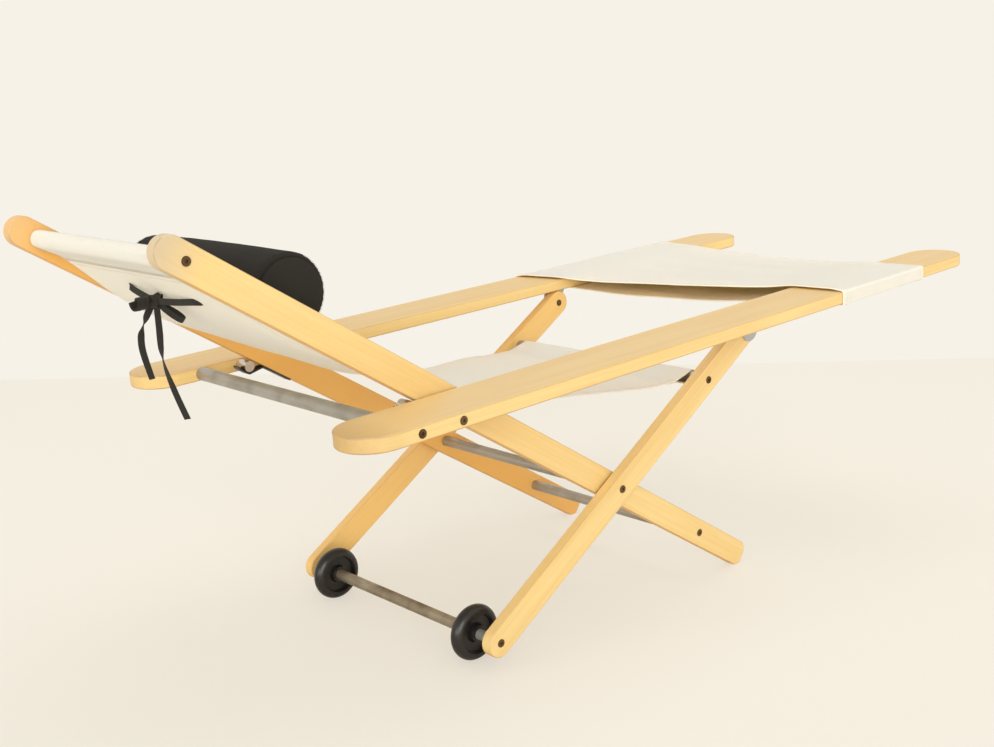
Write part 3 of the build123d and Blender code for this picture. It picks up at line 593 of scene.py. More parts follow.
# %% Stitch tree
def build_stitch_tree():
    tree = bpy.data.node_groups.new("stitch row", "GeometryNodeTree")
    inputs = {"Geometry": "Geometry", "Thread": "Material", "Step": "Float", "Length": "Float"}
    inputs["Radius"] = "Float"
    for label, kind in inputs.items():
        tree.interface.new_socket(name=label, in_out="INPUT", socket_type="NodeSocket" + kind)
    tree.interface.new_socket(name="Geometry", in_out="OUTPUT", socket_type="NodeSocketGeometry")
    given, out = tree.nodes.new("NodeGroupInput").outputs, tree.nodes.new("NodeGroupOutput")
    line = add_node(tree, "GeometryNodeMeshToCurve", {"Mesh": given["Geometry"]}).outputs[0]
    stops = {"Curve": line, "Length": given["Step"]}
    points = add_node(tree, "GeometryNodeCurveToPoints", stops, mode="LENGTH").outputs
    ball = add_node(tree, "GeometryNodeMeshUVSphere", {"Segments": 6, "Rings": 4, "Radius": 1.0}).outputs[0]
    half_sizes = {0: given["Radius"], 1: given["Radius"], 2: product(tree, given["Length"], 0.5)}
    half_sizes = add_node(tree, "ShaderNodeCombineXYZ", half_sizes).outputs[0]
    spindle = add_node(tree, "GeometryNodeTransform", {"Geometry": ball, "Scale": half_sizes}).outputs[0]
    row = {"Points": points["Points"], "Instance": spindle, "Rotation": points["Rotation"]}
    placed = add_node(tree, "GeometryNodeInstanceOnPoints", row).outputs[0]
    real = add_node(tree, "GeometryNodeRealizeInstances", {"Geometry": placed}).outputs[0]
    smooth = add_node(tree, "GeometryNodeSetShadeSmooth", {"Geometry": real}).outputs[0]
    finished = add_node(tree, "GeometryNodeSetMaterial", {"Geometry": smooth, "Material": given["Thread"]})
    tree.links.new(finished.outputs[0], out.inputs[0])
    return tree


stitch_tree = build_stitch_tree()


def stitch_rows(name, lines, material, step=0.0042, length=0.0032, radius=0.00042):
    """Rows of stitches along lines of points, baked to one plain mesh."""
    points, edges = [], []
    for line in lines:
        start = len(points)
        points += [tuple(p) for p in line]
        edges += [(i, i + 1) for i in range(start, len(points) - 1)]
    mesh = bpy.data.meshes.new(name + "_seam")
    mesh.from_pydata(points, edges, [])
    seam = bpy.data.objects.new(name + "_seam", mesh)
    bpy.context.scene.collection.objects.link(seam)
    modifier = seam.modifiers.new("stitches", "NODES")
    modifier.node_group = stitch_tree
    values = {"Step": step, "Length": length, "Radius": radius, "Thread": material}
    for item in stitch_tree.interface.items_tree:
        if item.in_out == "INPUT" and item.name in values:
            modifier[item.identifier] = values[item.name]
    bpy.context.view_layer.update()
    baked = bpy.data.meshes.new_from_object(seam.evaluated_get(bpy.context.evaluated_depsgraph_get()))
    bpy.data.objects.remove(seam)
    piece = bpy.data.objects.new(name, baked)
    bpy.context.scene.collection.objects.link(piece)
    print(name, "has", len(baked.polygons), "faces")
    return piece


# %% [markdown]
# ## The sling
# One strip of canvas is the seat and the back rest. Each end is folded round a bar and sewn down, and
# both long sides are hemmed. Seen from the side it hangs in a long curve, which is bent a little at
# the bolster and under the sitter. So its side view is drawn first, as one line from the loose end
# behind the head bar to the loose end under the seat bar, and that line is then carried across.

# %% Side view of the sling
sling_head, sling_seat = Vector((0.922357, 0.752998)), Vector((-0.158410, 0.417038))
head_seam, seat_seam = Vector((0.890423, 0.725718)), Vector((-0.108416, 0.416215))
sling_bends = [Vector((0.762404, 0.616355)), Vector((0.372679, 0.450842)), Vector((-0.043956, 0.415154))]
sling_half_width = 0.221
sling_half_thickness = 0.0009
bar_radius, bar_gap = 0.0125, 0.0003
loop_radius = bar_radius + bar_gap + sling_half_thickness
seam_allowance = 0.012
seam_stack = 2.4 * sling_half_thickness
bend_share, bend_steps, loop_steps = 0.45, 16, 24
side_step = 0.012


def arc_points(before, corner, after):
    """Points of the arc at a bend, as wide as a share of its shorter run."""
    run_in, run_out = before - corner, after - corner
    reach = bend_share * min(run_in.length, run_out.length)
    half_opening = run_in.angle(run_out) / 2
    radius = reach * sin(half_opening) / cos(half_opening)
    middle_way = (run_in.normalized() + run_out.normalized()).normalized()
    centre = corner + middle_way * (radius / sin(half_opening))
    start, end = corner + run_in.normalized() * reach, corner + run_out.normalized() * reach
    first, last = start - centre, end - centre
    turn = atan2(first.x * last.y - first.y * last.x, first.dot(last))
    found = []
    for step in range(bend_steps + 1):
        angle = turn * step / bend_steps
        c, s = cos(angle), sin(angle)
        found.append(centre + Vector((first.x * c - first.y * s, first.x * s + first.y * c)))
    return found


def sleeve_points(bar, seam, side):
    """From the seam round the bar and back past the seam, on the other side of the sheet."""
    out = (bar - seam).normalized()
    normal = Vector((-out.y, out.x)) * side
    lean = asin((loop_radius - sling_half_thickness) / (bar - seam).length)
    found = [seam]
    for step in range(loop_steps + 1):
        angle = pi / 2 + lean - (pi + 2 * lean) * step / loop_steps
        found.append(bar + (out * cos(angle) + normal * sin(angle)) * loop_radius)
    below = seam - normal * seam_stack
    return found + [below, below - out * seam_allowance]


def resampled(line, step):
    """Points of a 2-D line, with long straight runs divided."""
    found = [line[0]]
    for a, b in zip(line, line[1:]):
        parts = max(1, round((b - a).length / step))
        found += [a.lerp(b, k / parts) for k in range(1, parts + 1)]
    return found


corners = [head_seam, *sling_bends, seat_seam]
sheet_line = [head_seam]
for before, corner, after in zip(corners, corners[1:], corners[2:]):
    sheet_line += arc_points(before, corner, after)
head_sleeve = sleeve_points(sling_head, head_seam, 1)[::-1]
side_view = head_sleeve[:-1] + sheet_line + sleeve_points(sling_seat, seat_seam, -1)
side_line = resampled(side_view, side_step)
side_along = running_length(side_line)

# %% [markdown]
# Now the line is carried across, with a hem on each side. The free length between the seams is drawn
# in a little at mid length, as cloth is that hangs by its ends, and slight pulls run out from the bars
# where the canvas is gathered by its weight. It spreads along the seat bar, its right edge rides up
# below the bolster, and its left edge hangs lower above the seat.

# %% Sling
sling_draw_in = 0.003
sling_flare, flare_span = 0.012, (0.16, 0.0)
right_edge_rise, right_rise_span = 0.009, (0.63, 0.72, 0.79, 0.85)
left_edge_drop, left_drop_span = 0.019, (-0.02, 0.22, 0.33, 0.50)
head_pull_reach, seat_pull_reach, pull_height, wave_height = 0.09, 0.12, 0.0022, 0.0022
bolster_y, bolster_rest_span = 0.7245, (0.09, 0.16)
hem_width, hem_stitch, hem_fold, rim_radius = 0.014, 0.010, 0.0010, 0.0012
half_columns = [0.0, 0.0008, 0.003, 0.006, hem_stitch, hem_width - 0.001, hem_width + 0.001]
half_columns += [0.02, 0.03, 0.045, 0.06, 0.08, 0.1, 0.12, 0.14, 0.16, 0.18, 0.2, sling_half_width]
half_shares = [1 - inset / sling_half_width for inset in half_columns]
sling_shares = half_shares + [-share for share in half_shares[-2::-1]]


def sling_point(place, share):
    """A point of the sling: drawn in at the sides, with pulls near the bars."""
    y = place.x
    middle = (y - head_seam.x) / (seat_seam.x - head_seam.x)
    free = 4 * middle * (1 - middle) if 0 < middle < 1 else 0
    x = share * (sling_half_width - sling_draw_in * free + sling_flare * smoothstep(*flare_span, y))
    from_head, from_seat = abs(y - head_seam.x), abs(y - seat_seam.x)
    near_bar = exp(-from_head / head_pull_reach) * 0.4 + exp(-from_seat / seat_pull_reach)
    pulls = noise.noise(Vector((x * 16, y * 2.2, 3.1))) * near_bar * pull_height * (free > 0)
    wave = noise.noise(Vector((x * 5, y * 3.5, 8.4))) * wave_height * smoothstep(0, 0.35, free)
    off_bolster = smoothstep(*bolster_rest_span, abs(y - bolster_y))
    right_edge = smoothstep(-0.80, -1.0, share) * window(y, *right_rise_span)
    left_edge = smoothstep(0.1, 1.0, share) * window(y, *left_drop_span)
    slack = pulls + wave * off_bolster + right_edge_rise * right_edge - left_edge_drop * left_edge
    return Vector((x, y + slack * 0.35, place.y + slack * 0.9))


sling_points = np.array([[sling_point(place, share) for share in sling_shares] for place in side_line])
sling_uvs = np.array([[(share * sling_half_width, s) for share in sling_shares] for s in side_along])
inset = (1 - np.abs(np.array(sling_shares))) * sling_half_width
hem_drop = hem_fold * (1 - np.clip((inset - hem_width + 0.001) / 0.002, 0, 1))
rounded = np.clip(inset / rim_radius, 0.25, 1)
lift = np.tile(sling_half_thickness * rounded, (len(side_line), 1))
drop = np.tile(sling_half_thickness * rounded + hem_drop * rounded, (len(side_line), 1))
sling = cloth_shell("sling_cloth", sling_points, lift, drop, sling_uvs, canvas)
print("sling cloth", len(sling.data.polygons), "faces")

# %% [markdown]
# The stitches of the sling lie on the two sleeve seams and along both hems. A stitch line is read from
# the same function as the cloth, so it lies on the cloth wherever the cloth goes.

# %% Stitches of the sling
def nearest_row(seam):
    return min(range(len(side_line)), key=lambda i: (side_line[i] - seam).length)


stitch_rise = 0.0009
first_row, last_row = nearest_row(head_seam), nearest_row(seat_seam)
sling_normals = grid_normals(sling_points, False)
sling_seams = []
for row in (first_row + 1, first_row + 2, last_row - 1, last_row - 2):
    for side, height in ((1, sling_half_thickness), (-1, 1.4 * sling_half_thickness + stitch_rise)):
        pairs = zip(sling_points[row], sling_normals[row])
        sling_seams.append([Vector(p + side * n * height) for p, n in pairs][2:-2])
for column in [i for i, place in enumerate(inset) if abs(place - hem_stitch) < 1e-6]:
    for side, height in ((1, sling_half_thickness), (-1, sling_half_thickness + hem_fold)):
        rows = slice(first_row, last_row + 1)
        pairs = zip(sling_points[rows, column], sling_normals[rows, column])
        sling_seams.append([Vector(p + side * n * height) for p, n in pairs])
sling_stitches = stitch_rows("sling_stitches", sling_seams, thread)

# %% [markdown]
# ## The bolster
# The bolster is a firm roll in a fitted cover with two round end pieces. It starts as a turned
# cylinder that is a little too slim. A short cloth simulation with pressure inside then blows it up
# against its own seams, and a cap on how far a point may move keeps it clear of the sling.

# %% Bolster form
bolster_centre = Vector((0.0155, 0.723667, 0.678931))
bolster_radius, bolster_end_radius, bolster_half_length = 0.0662, 0.0648, 0.2150
cap_dome, cap_radius, shoulder = 0.012, 0.058, 0.011
cap_seam = bolster_half_length - cap_dome
cap_rings, shoulder_rings, body_rings, around = 12, 8, 68, 128


def circle(count, turns=1):
    """The cosine and sine of count equal steps round a circle."""
    return [(cos(2 * pi * turns * k / count), sin(2 * pi * turns * k / count)) for k in range(count + 1)]


def bolster_profile():
    """(across, radius) from one end to the other: domed cap, seam, round shoulder, crowned body."""
    half = []
    for k in range(cap_rings + 1):
        angle = (k / cap_rings) * pi / 2
        half.append((cap_seam + cap_dome * cos(angle) ** 0.85, cap_radius * sin(angle) ** 0.8 if k else 0.0))
    for k in range(1, shoulder_rings + 1):
        angle = (k / shoulder_rings) * pi / 2
        lift = (bolster_end_radius - cap_radius) * sin(angle) ** 0.8
        half.append((cap_seam - shoulder * (1 - cos(angle)), cap_radius + lift))
    body = cap_seam - shoulder
    for k in range(1, body_rings + 1):
        x = body * (1 - k / body_rings)
        half.append((x, bolster_end_radius + (bolster_radius - bolster_end_radius) * (1 - (x / body) ** 2)))
    return half[:-1] + [(-x, r) for x, r in half[::-1]]


profile = bolster_profile()
ring_count = len(profile) - 2
bolster_points = [Vector((x, r * c, r * s)) for x, r in profile[1:-1] for c, s in circle(around)[:-1]]
faces = grid_faces(ring_count, around, 0, round_columns=True)
for ring, tip in ((0, profile[0]), (ring_count - 1, profile[-1])):
    last = len(bolster_points)
    bolster_points.append(Vector((tip[0], 0, 0)))
    for k in range(around):
        a, b = ring * around + k, ring * around + (k + 1) % around
        faces.append((last, b, a) if ring == 0 else (last, a, b))
bolster = mesh_piece("bolster_cover", [p + bolster_centre for p in bolster_points], faces, bolster_cloth)
print("bolster", len(bolster.data.polygons), "faces")

# %% Swell the bolster
start_share, most_move, swell_frames, pressure = 0.985, 0.0012, 18, 4.0
cloth_stiffness = {"tension_stiffness": 40, "compression_stiffness": 40, "bending_stiffness": 2}


def swell(piece):
    """Cloth with pressure from a slimmer start, the move of each point capped, and the result kept."""
    rest = np.array([v.co for v in piece.data.vertices])
    slim = rest.copy()
    centre = np.array(bolster_centre)
    slim[:, 1:] = centre[1:] + (rest[:, 1:] - centre[1:]) * start_share
    piece.data.vertices.foreach_set("co", slim.ravel())
    cloth = piece.modifiers.new("cloth", "CLOTH")
    cloth.settings.use_pressure = True
    cloth.settings.uniform_pressure_force = pressure
    for key, value in cloth_stiffness.items():
        setattr(cloth.settings, key, value)
    cloth.settings.effector_weights.gravity = 0
    cloth.collision_settings.use_collision = False
    scene = bpy.context.scene
    for step in range(1, swell_frames + 1):
        scene.frame_set(step)
    swollen = piece.evaluated_get(bpy.context.evaluated_depsgraph_get()).to_mesh()
    moved = np.array([v.co for v in swollen.vertices])
    piece.modifiers.remove(cloth)
    scene.frame_set(1)
    change = moved - rest
    reach = np.linalg.norm(change, axis=1, keepdims=True)
    kept = rest + change * np.minimum(1, most_move / np.maximum(reach, 1e-9))
    piece.data.vertices.foreach_set("co", kept.ravel())
    piece.data.update()
    print("the bolster swelled by up to", round(float(reach.max()) * 1000, 2), "mm")


swell(bolster)

# %% [markdown]
# Sewing pulls a cover in along its seams, and a cover puckers there. After the simulation the points
# near both cap seams are drawn in, with small waves round the seam, and the weave's UV map is laid:
# round the body in metres, and flat on the end pieces.

# %% Seams and UV map of the bolster
seam_pull, seam_pull_reach = 0.0034, 0.0024
pucker_height, pucker_reach, puckers = 0.0008, 0.008, 40
soft_height = 0.0007
plain_cap_radius = 0.035


def pull_seams(mesh):
    for vertex in mesh.vertices:
        p = vertex.co - bolster_centre
        radius = hypot(p.y, p.z)
        if radius < plain_cap_radius:
            continue
        angle = atan2(p.z, p.y)
        gap = hypot(abs(p.x) - cap_seam, radius - cap_radius)
        pull = seam_pull * exp(-((gap / seam_pull_reach) ** 2))
        pucker = pucker_height * sin(angle * puckers + 2 * sin(angle * 7)) * exp(-gap / pucker_reach)
        soft = noise.noise(Vector((p.x * 14, cos(angle) * 1.6, sin(angle) * 1.6))) * soft_height
        share = (radius - pull + pucker - abs(soft)) / radius
        vertex.co = bolster_centre + Vector((p.x, p.y * share, p.z * share))


def lay_uvs(mesh):
    layer = mesh.uv_layers.new(name="cloth")
    for face in mesh.polygons:
        on_cap = abs((face.center - bolster_centre).x) > cap_seam
        first = None
        for loop in face.loop_indices:
            p = mesh.vertices[mesh.loops[loop].vertex_index].co - bolster_centre
            angle = atan2(p.z, p.y)
            first = angle if first is None else first
            if abs(angle - first) > pi:
                angle += 2 * pi if angle < first else -2 * pi
            layer.data[loop].uv = (p.y, p.z) if on_cap else (p.x, angle * bolster_radius)
    mesh.update()


pull_seams(bolster.data)
lay_uvs(bolster.data)
stitch_radius = cap_radius + (bolster_end_radius - cap_radius) * 0.72
stitch_x = cap_seam - 0.003
fine_stitch = {"step": 0.0036, "length": 0.0026, "radius": 0.00035}
seam_lines = [
    [bolster_centre + Vector((side * stitch_x, stitch_radius * c, stitch_radius * s)) for c, s in circle(180)]
    for side in (1, -1)
]
bolster_stitches = stitch_rows("bolster_stitches", seam_lines, tie_tape, **fine_stitch)

# %% [markdown]
# ## The leg-rest canvas
# A short tube of canvas is slipped over the front of both boards. It lies flat on each board, goes
# round the outer edges, and hangs a little between them, above and below. Its back edge runs askew
# and stands a little off the boards. So the section across the boards comes first, as one closed
# loop, and each point of the loop then has its own start and end along the boards.

# %% Leg-rest canvas
board_middle = Vector((0.0, -0.279366, 0.538148))
board_ahead, board_up = Vector((0.0, -0.99806, 0.06224)), Vector((0.0, 0.06224, 0.99806))
board_inner, board_outer, board_half_thickness = 0.254, 0.372, 0.0125
canvas_half, canvas_gap, canvas_corner = 0.0010, 0.0003, 0.0034
sag_places, sags, sag_under = (0, 0.4, 1), (0.004, 0.010, 0.006), 0.012
edge_x = (-0.376, -0.254, 0.254, 0.376)
top_back, under_back = (0.177, 0.165, 0.005, -0.017), (0.177, 0.172, 0.050, 0.050)
front_right, front_left, front_middle = 0.485, 0.509, 0.474
ripple_height, fold_height = 0.0035, 0.0022
raised_height, raised_reach, raised_span = 0.0040, 0.03, (0.20, 0.27, 0.345, 0.376)
canvas_hem, canvas_hem_fold, canvas_stitch, canvas_rows = 0.016, 0.0009, 0.013, 84


def front_of(x):
    share = (x / edge_x[-1] + 1) / 2
    straight = front_right + (front_left - front_right) * share
    return straight - 4 * share * (1 - share) * ((front_right + front_left) / 2 - front_middle)


def canvas_loop():
    """(x, z, top?) round the section, starting at the right board's outer edge on top."""
    wide, high = board_outer + canvas_gap + canvas_half, board_half_thickness + canvas_gap + canvas_half
    inner_x, inner_z = wide - canvas_corner, high - canvas_corner
    on_boards = np.linspace(-inner_x, -board_inner, 14), np.linspace(board_inner, inner_x, 14)
    flat = np.concatenate([on_boards[0], np.linspace(-board_inner, board_inner, 49)[1:-1], on_boards[1]])
    upright = np.linspace(-inner_z, inner_z, 6)
    runs = [
        ([(x, high, 1.0) for x in flat], 1, 1, 1.0),
        ([(wide, z, 0.5) for z in upright[::-1]], 1, -1, 0.0),
        ([(x, -high, 0.0) for x in flat[::-1]], -1, -1, 0.0),
        ([(-wide, z, 0.5) for z in upright], -1, 1, 1.0),
    ]
    found = []
    for turn, (run, side, rise, top) in enumerate(runs):
        found += run
        for k in range(1, 6):
            angle = pi / 2 * (1 - turn - k / 6)
            round_x, round_z = canvas_corner * cos(angle), canvas_corner * sin(angle)
            found.append((side * inner_x + round_x, rise * inner_z + round_z, top))
    return found


def canvas_point(x, z, top, share):
    """A point of the leg-rest canvas, share of the way from its back edge to its front."""
    back = float(np.interp(x, edge_x, top_back)) * top + float(np.interp(x, edge_x, under_back)) * (1 - top)
    from_back = (front_of(x) - back) * share
    ahead_by = back + from_back
    between = max(0, 1 - (x / board_inner) ** 2)
    sag = float(np.interp(share, sag_places, sags)) if top > 0.5 else sag_under
    ripple = noise.noise(Vector((x * 7, ahead_by * 5, 4.2 + top))) * ripple_height * between
    folds = noise.noise(Vector((ahead_by * 16, x * 2.5, 9.7 + top))) * fold_height * between
    raised = raised_height * exp(-from_back / raised_reach) * window(abs(x), *raised_span) * (top > 0.9)
    place = board_middle + board_ahead * ahead_by + board_up * (z - sag * between + ripple + folds + raised)
    return Vector((x, place.y, place.z))


# The loop is reversed so that the outer skin faces out
canvas_section = canvas_loop()[::-1]
loop_length = running_length([Vector((x, z)) for x, z, _ in canvas_section])
middle_rows = np.linspace(0.05, 0.95, canvas_rows - 14)[1:-1]
shares = np.concatenate([np.linspace(0, 0.05, 8), middle_rows, np.linspace(0.95, 1, 8)])
canvas_points = np.array([[canvas_point(*place, share) for place in canvas_section] for share in shares])
ahead_at = (canvas_points - np.array(board_middle)) @ np.array(board_ahead)
canvas_uvs = np.stack([np.tile(loop_length, (len(shares), 1)), ahead_at], axis=2)
to_rim = np.minimum(ahead_at - ahead_at[0], ahead_at[-1] - ahead_at)
hem = canvas_hem_fold * (1 - np.clip((to_rim - canvas_hem) / 0.0015, 0, 1))
rim_round = np.clip(to_rim / rim_radius, 0.3, 1)
lift, drop = (canvas_half + hem) * rim_round, canvas_half * rim_round
cover = cloth_shell("leg_canvas_cloth", canvas_points, lift, drop, canvas_uvs, canvas, True, lined=True)
print("leg canvas", len(cover.data.polygons), "faces")

# %% Stitches of the leg-rest canvas
canvas_normals = grid_normals(canvas_points, True)
canvas_seams = []
for end, inward in ((0, canvas_stitch), (-1, -canvas_stitch)):
    line = []
    for column in [*range(len(canvas_section)), 0]:
        from_end = np.abs(ahead_at[:, column] - ahead_at[end, column])
        row = int(np.argmin(np.abs(from_end - canvas_stitch)))
        step = ahead_at[end, column] + inward - ahead_at[row, column]
        p = canvas_points[row, column] + np.array(board_ahead) * step
        line.append(Vector(p + canvas_normals[row, column] * (canvas_half + canvas_hem_fold)))
    canvas_seams.append(line)
canvas_stitches = stitch_rows("leg_canvas_stitches", canvas_seams, thread)

# %% [markdown]
# ## The bow
# A tape is a ribbon: at every point of its route it needs a direction for its width. That direction is
# given at a few places along it and is mixed between them, so a tape can lie flat on the sling, go
# through its slit, and twist on its way down, as the two ends do.

# %% Ribbon helper
x_axis, z_axis = Vector((1, 0, 0)), Vector((0, 0, 1))
bow_level, bow_out = Vector((-0.6743, -0.73846, 0.0)), Vector((-0.73846, 0.6743, 0.0))
sheet_up = Vector((0.0, 0.76034, 0.64953))
ribbon_step = 0.0015


def signed_power(value, power):
    return abs(value) ** power * (1 if value > 0 else -1)


def spaced_line(line):
    """Points evenly along a line of points, and how far along each is."""
    lengths = running_length(line)
    wanted = np.linspace(0, lengths[-1], max(2, round(lengths[-1] / ribbon_step)) + 1)
    array = np.array([tuple(p) for p in line])
    return [Vector([float(np.interp(w, lengths, array[:, k])) for k in range(3)]) for w in wanted], wanted


def ribbon(name, line, widths, slant=0.0):
    """A tape along a line. widths are (share along, direction of the width) pairs."""
    places, along = spaced_line(line)
    section = [
        (tape_width / 2 * signed_power(c, 0.55), tape_thickness / 2 * signed_power(s, 0.7))
        for c, s in circle(20)[:-1]
    ]
    keys = [share for share, _ in widths]
    directions = np.array([tuple(Vector(way).normalized()) for _, way in widths])
    points, uvs = [], []
    last = len(places) - 1
    for i, place in enumerate(places):
        ahead_way = (places[min(i + 1, last)] - places[max(i - 1, 0)]).normalized()
        share = along[i] / along[-1]
        way = Vector([float(np.interp(share, keys, directions[:, k])) for k in range(3)])
        wide = (way - ahead_way * way.dot(ahead_way)).normalized()
        thin = ahead_way.cross(wide)
        for across, out in section:
            cut = ahead_way * (slant * across * (i == last))
            points.append(place + wide * across + thin * out + cut)
            uvs.append((across, along[i]))
    rows, columns = len(places), len(section)
    faces = grid_faces(rows, columns, 0, round_columns=True, turned=True)
    faces.append(list(range(columns)))
    faces.append(list(range((rows - 1) * columns, rows * columns))[::-1])
    return mesh_piece(name, points, faces, tie_tape, uvs), [tuple(p) for p in places]


def bow_way(level, out, upward):
    """A direction from its shares along the bow: level, towards the viewer, up."""
    return (bow_level * level + bow_out * out + z_axis * upward).normalized()


def hanging(*turns):
    """Widths of a hanging tape at shares along it: 0 degrees is flat to the viewer, 90 is edge on."""
    found = []
    for share, degrees in turns:
        found.append((share, bow_level * cos(radians(degrees)) + bow_out * sin(radians(degrees))))
    return found


def facing_viewer(route):
    """The width of a tape that runs along a route with its flat side to the viewer."""
    way = (Vector(route[-1]) - Vector(route[0])).cross(bow_out).normalized()
    return way if way.z > 0 else -way


# %% Straps and hanging ends
left_way, right_way = facing_viewer(strap_left_route), facing_viewer(strap_right_route)
strap_left, strap_left_path = ribbon("tie_strap_left_tape", strap_left_line, [
    (0, x_axis), (0.42, x_axis), (0.50, x_axis * 0.3 + sheet_up), (0.57, left_way), (1, left_way)])
strap_right, strap_right_path = ribbon("tie_strap_right_tape", strap_right_line, [
    (0, -x_axis), (0.25, -x_axis), (0.34, sheet_up - x_axis * 0.3), (0.42, right_way), (1, right_way)])
tail_left, tail_left_path = ribbon("tie_tail_left_tape", tail_left_line, hanging(
    (0, -20), (0.16, 5), (0.31, 90), (0.45, 165), (0.75, 180), (1, 190)))
tail_right, tail_right_path = ribbon("tie_tail_right_tape", tail_right_line, hanging(
    (0, 12), (0.26, 0), (0.36, 22), (0.45, 68), (0.57, 38), (0.72, 12), (1, 4)), slant=0.2)

# %% [markdown]
# The right loop goes out and comes back in one open bend. The left loop has rolled up: its tape winds
# round its own axis. The knot is a full core under two crossing wraps and one small fold.

# %% Loops
knot_place = Vector((0.0, 0.844392, 0.665406))
right_start, right_length, right_bulge = 0.006, 0.052, 1.3 * 0.0065
roll_radius, roll_from, roll_to, roll_turns, roll_taper = 0.0098, 0.013, 0.033, 2.05, 0.08
left_turn, right_drop, right_lean = radians(40), radians(36), radians(78)


def tape_piece(name, offsets, wide):
    """A tape through places given from the middle of the knot, with one direction for its width."""
    return ribbon(name, [knot_place + offset for offset in offsets], [(0, wide), (1, wide)])[0]


def rolled_offsets(outward):
    """Round the direction outward, each turn beside the last."""
    side_way = outward.cross(z_axis).normalized()
    up_way = side_way.cross(outward)
    found = []
    steps = round(40 * roll_turns)
    for k, (c, s) in enumerate(circle(steps, roll_turns)):
        share = k / steps
        reach = roll_from + (roll_to - roll_from) * share
        radius = roll_radius * (1 - roll_taper + roll_taper * share)
        found.append(outward * reach + (side_way * c + up_way * s) * radius)
    return found


def open_offsets(outward, wide):
    """Out from the knot and back."""
    bulge = outward.cross(wide).normalized()
    found = []
    for k, (c, s) in enumerate(circle(56)):
        reach = right_start + (right_length - right_start) * (1 - c) / 2
        found.append(outward * reach + bulge * (right_bulge * s * abs(sin(pi * k / 56))))
    return found


left_out = bow_way(-cos(left_turn), sin(left_turn), -0.06)
right_out = bow_way(cos(right_drop), 0, -sin(right_drop))
right_across = bow_way(sin(right_drop), 0, cos(right_drop))
right_wide = bow_out * cos(right_lean) + right_across * sin(right_lean)
loop_left = tape_piece("tie_loop_left_tape", rolled_offsets(left_out), left_out)
loop_right = tape_piece("tie_loop_right_tape", open_offsets(right_out, right_wide), right_wide)

# %% Knot
core_rows, core_columns, core_long, core_radius = 13, 24, 0.0095, 0.0085
fold_place, fold_rise, fold_height, fold_depth = 0.0075, 0.005, 0.0075, 0.0035
core_points, core_uvs = [], []
for row in range(core_rows):
    rise = pi * (row + 0.5) / core_rows
    for column, (c, s) in enumerate(circle(core_columns)[:-1]):
        ring = core_radius * sin(rise)
        level = core_long * cos(rise)
        core_points.append(knot_place + bow_level * level + bow_out * (ring * c) + z_axis * (ring * s))
        core_uvs.append((level, core_radius * 2 * pi * column / core_columns))
faces = grid_faces(core_rows, core_columns, 0, round_columns=True)
faces.append(list(range(core_columns))[::-1])
faces.append(list(range((core_rows - 1) * core_columns, core_rows * core_columns)))
knot = mesh_piece("tie_knot_core", core_points, faces, tie_tape, core_uvs)
knot_wraps = []
for name, lean, shift, radius in (("over", 0.0040, 0.0030, 0.0098), ("under", -0.0035, -0.0035, 0.0090)):
    offsets = [(bow_out * c + z_axis * s) * radius + bow_level * (shift + lean * s) for c, s in circle(64)]
    knot_wraps.append(tape_piece("tie_knot_" + name, offsets, bow_level))
fold_way, fold_up = bow_way(0.87, 0, 0.5), bow_way(-0.5, 0, 0.87)
offsets = []
for c, s in circle(32, 0.5):
    rise = fold_up * (fold_rise + fold_height * s) - bow_out * (fold_depth * c)
    offsets.append(bow_level * fold_place + rise)
knot_wraps.append(tape_piece("tie_knot_fold", offsets, fold_way))
print("the bow is tied")

# %% [markdown]
# ## Who rides on what
# The bolster, its bow and the canvas of the leg rest are fixed to one body each. The sling and
# its stitches are baked in place, in the frame of the CAD model, and fixed to no body.

# %% Ride and replace
for piece in (sling, sling_stitches):
    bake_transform(piece)
bow_pieces = [strap_left, strap_right, tail_left, tail_right, loop_left, loop_right, knot, *knot_wraps]
for piece in (bolster, bolster_stitches, *bow_pieces):
    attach(piece, "rails")
for piece in (cover, canvas_stitches):
    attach(piece, "boards")
for piece, *nodes in (
    (sling, "sling"), (cover, "leg_canvas"), (bolster, "bolster"),
    (strap_left, "tie_tape_left", "tie_strap_left"), (strap_right, "tie_tape_right", "tie_strap_right"),
    (tail_left, "tie_tail_left"), (tail_right, "tie_tail_right"),
    (loop_left, "tie_loop_left"), (loop_right, "tie_loop_right"), (knot, "tie_knot"),
):
    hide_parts(*nodes)

# %% [markdown]
# ## Floor and light
# The studio is cream white. The floor is one pale plane that ends where the photograph's wall begins,
# and the wall is the world's own colour, shown only to the camera and to reflections. A soft sun comes
# from behind the camera, a large lamp hangs overhead, a weaker soft sun comes in low from the head end,
# and the world fills the shadows. Part of the floor's brightness is its own, to the camera alone, as a
# lit studio floor has in the photograph.

# %% Floor
floor_ahead, floor_right = Vector((sin(yaw), cos(yaw), 0)), Vector((cos(yaw), -sin(yaw), 0))
camera_foot = Vector((camera_place.x, camera_place.y, 0))
floor_far, floor_near, floor_side = 4.545, -9.0, 8.0
floor_light, floor_dark = (0.90, 0.86, 0.775, 1), (0.885, 0.84, 0.75, 1)
floor_own, own_share = (0.925, 0.878, 0.775, 1), 0.6
floor_corners = []
for ahead_by, sides in ((floor_near, (-floor_side, floor_side)), (floor_far, (floor_side, -floor_side))):
    floor_corners += [camera_foot + floor_ahead * ahead_by + floor_right * side for side in sides]
floor_material, tree, floor_shader = new_material("floor", {"Roughness": 0.7, "Specular IOR Level": 0.2})
floor_patch = use_group(tree, patina_group, Vector=object_place(tree), Scale=0.5, Amount=0.5)["Mask"]
surface(tree, floor_shader, mixed(tree, floor_patch, floor_light, floor_dark))
own_light = add_node(tree, "ShaderNodeEmission", {"Color": floor_own}).outputs[0]
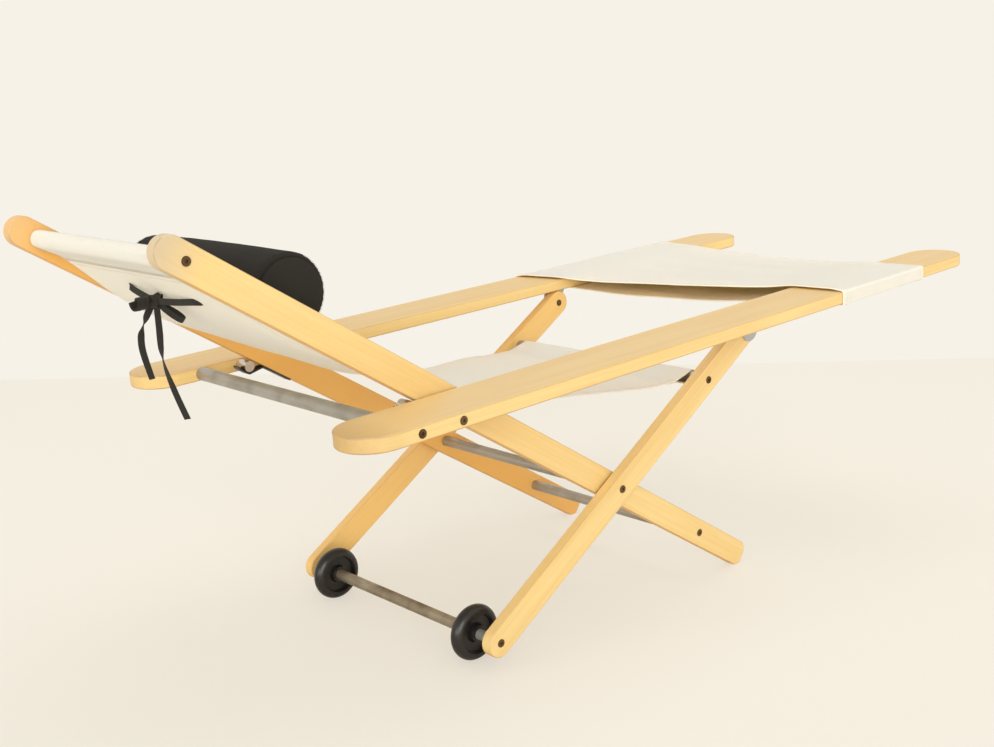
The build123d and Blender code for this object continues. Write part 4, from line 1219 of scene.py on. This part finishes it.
to_camera = product(tree, add_node(tree, "ShaderNodeLightPath").outputs["Is Camera Ray"], own_share)
floor_mix = add_node(tree, "ShaderNodeMixShader", {0: to_camera, 1: floor_shader.outputs[0], 2: own_light})
tree.links.new(floor_mix.outputs[0], tree.nodes["Material Output"].inputs["Surface"])
floor = mesh_piece("floor", floor_corners, [(0, 1, 2, 3)], floor_material)

# %% World and lamps
world = bpy.data.worlds.new("studio")
bpy.context.scene.world = world
world.use_nodes = True
tree = world.node_tree
tree.nodes.clear()
rays = add_node(tree, "ShaderNodeLightPath").outputs
through = maths(tree, "MAXIMUM", rays["Is Glossy Ray"], rays["Is Transmission Ray"])
seen = maths(tree, "MAXIMUM", rays["Is Camera Ray"], through)
fill = add_node(tree, "ShaderNodeBackground", {"Color": (1.0, 0.975, 0.93, 1), "Strength": 0.66}).outputs[0]
wall = add_node(tree, "ShaderNodeBackground", {"Color": (0.930, 0.888, 0.807, 1), "Strength": 1.0}).outputs[0]
shown = add_node(tree, "ShaderNodeMixShader", {0: seen, 1: fill, 2: wall}).outputs[0]
add_node(tree, "ShaderNodeOutputWorld", {"Surface": shown})


def hang_lamp(name, kind, place, aim, **settings):
    """A lamp at a place, turned to what it lights."""
    lamp = bpy.data.lights.new(name, kind)
    for key, value in settings.items():
        setattr(lamp, key, value)
    carrier = bpy.data.objects.new(name, lamp)
    bpy.context.scene.collection.objects.link(carrier)
    turn = (Vector(place) - Vector(aim)).to_track_quat("Z", "Y")
    carrier.matrix_world = Matrix.Translation(Vector(place)) @ turn.to_matrix().to_4x4()
    carrier.visible_camera = False


sunny, overcast = (1.0, 0.98, 0.94), (1.0, 0.98, 0.95)
hang_lamp("front", "SUN", (-5.0, 3.2, 1.3), (0, 0, 0.4), angle=radians(50), energy=2.25, color=sunny)
hang_lamp("overhead", "AREA", (-0.2, -0.4, 4.3), (0, 0, 0.3), size=3.6, energy=50, color=overcast)
hang_lamp("low fill", "SUN", (-0.9, 4.9, 0.7), (0, 0.6, 0.55), angle=radians(40), energy=1.1, color=sunny)
bpy.context.scene.view_settings.view_transform = "Standard"
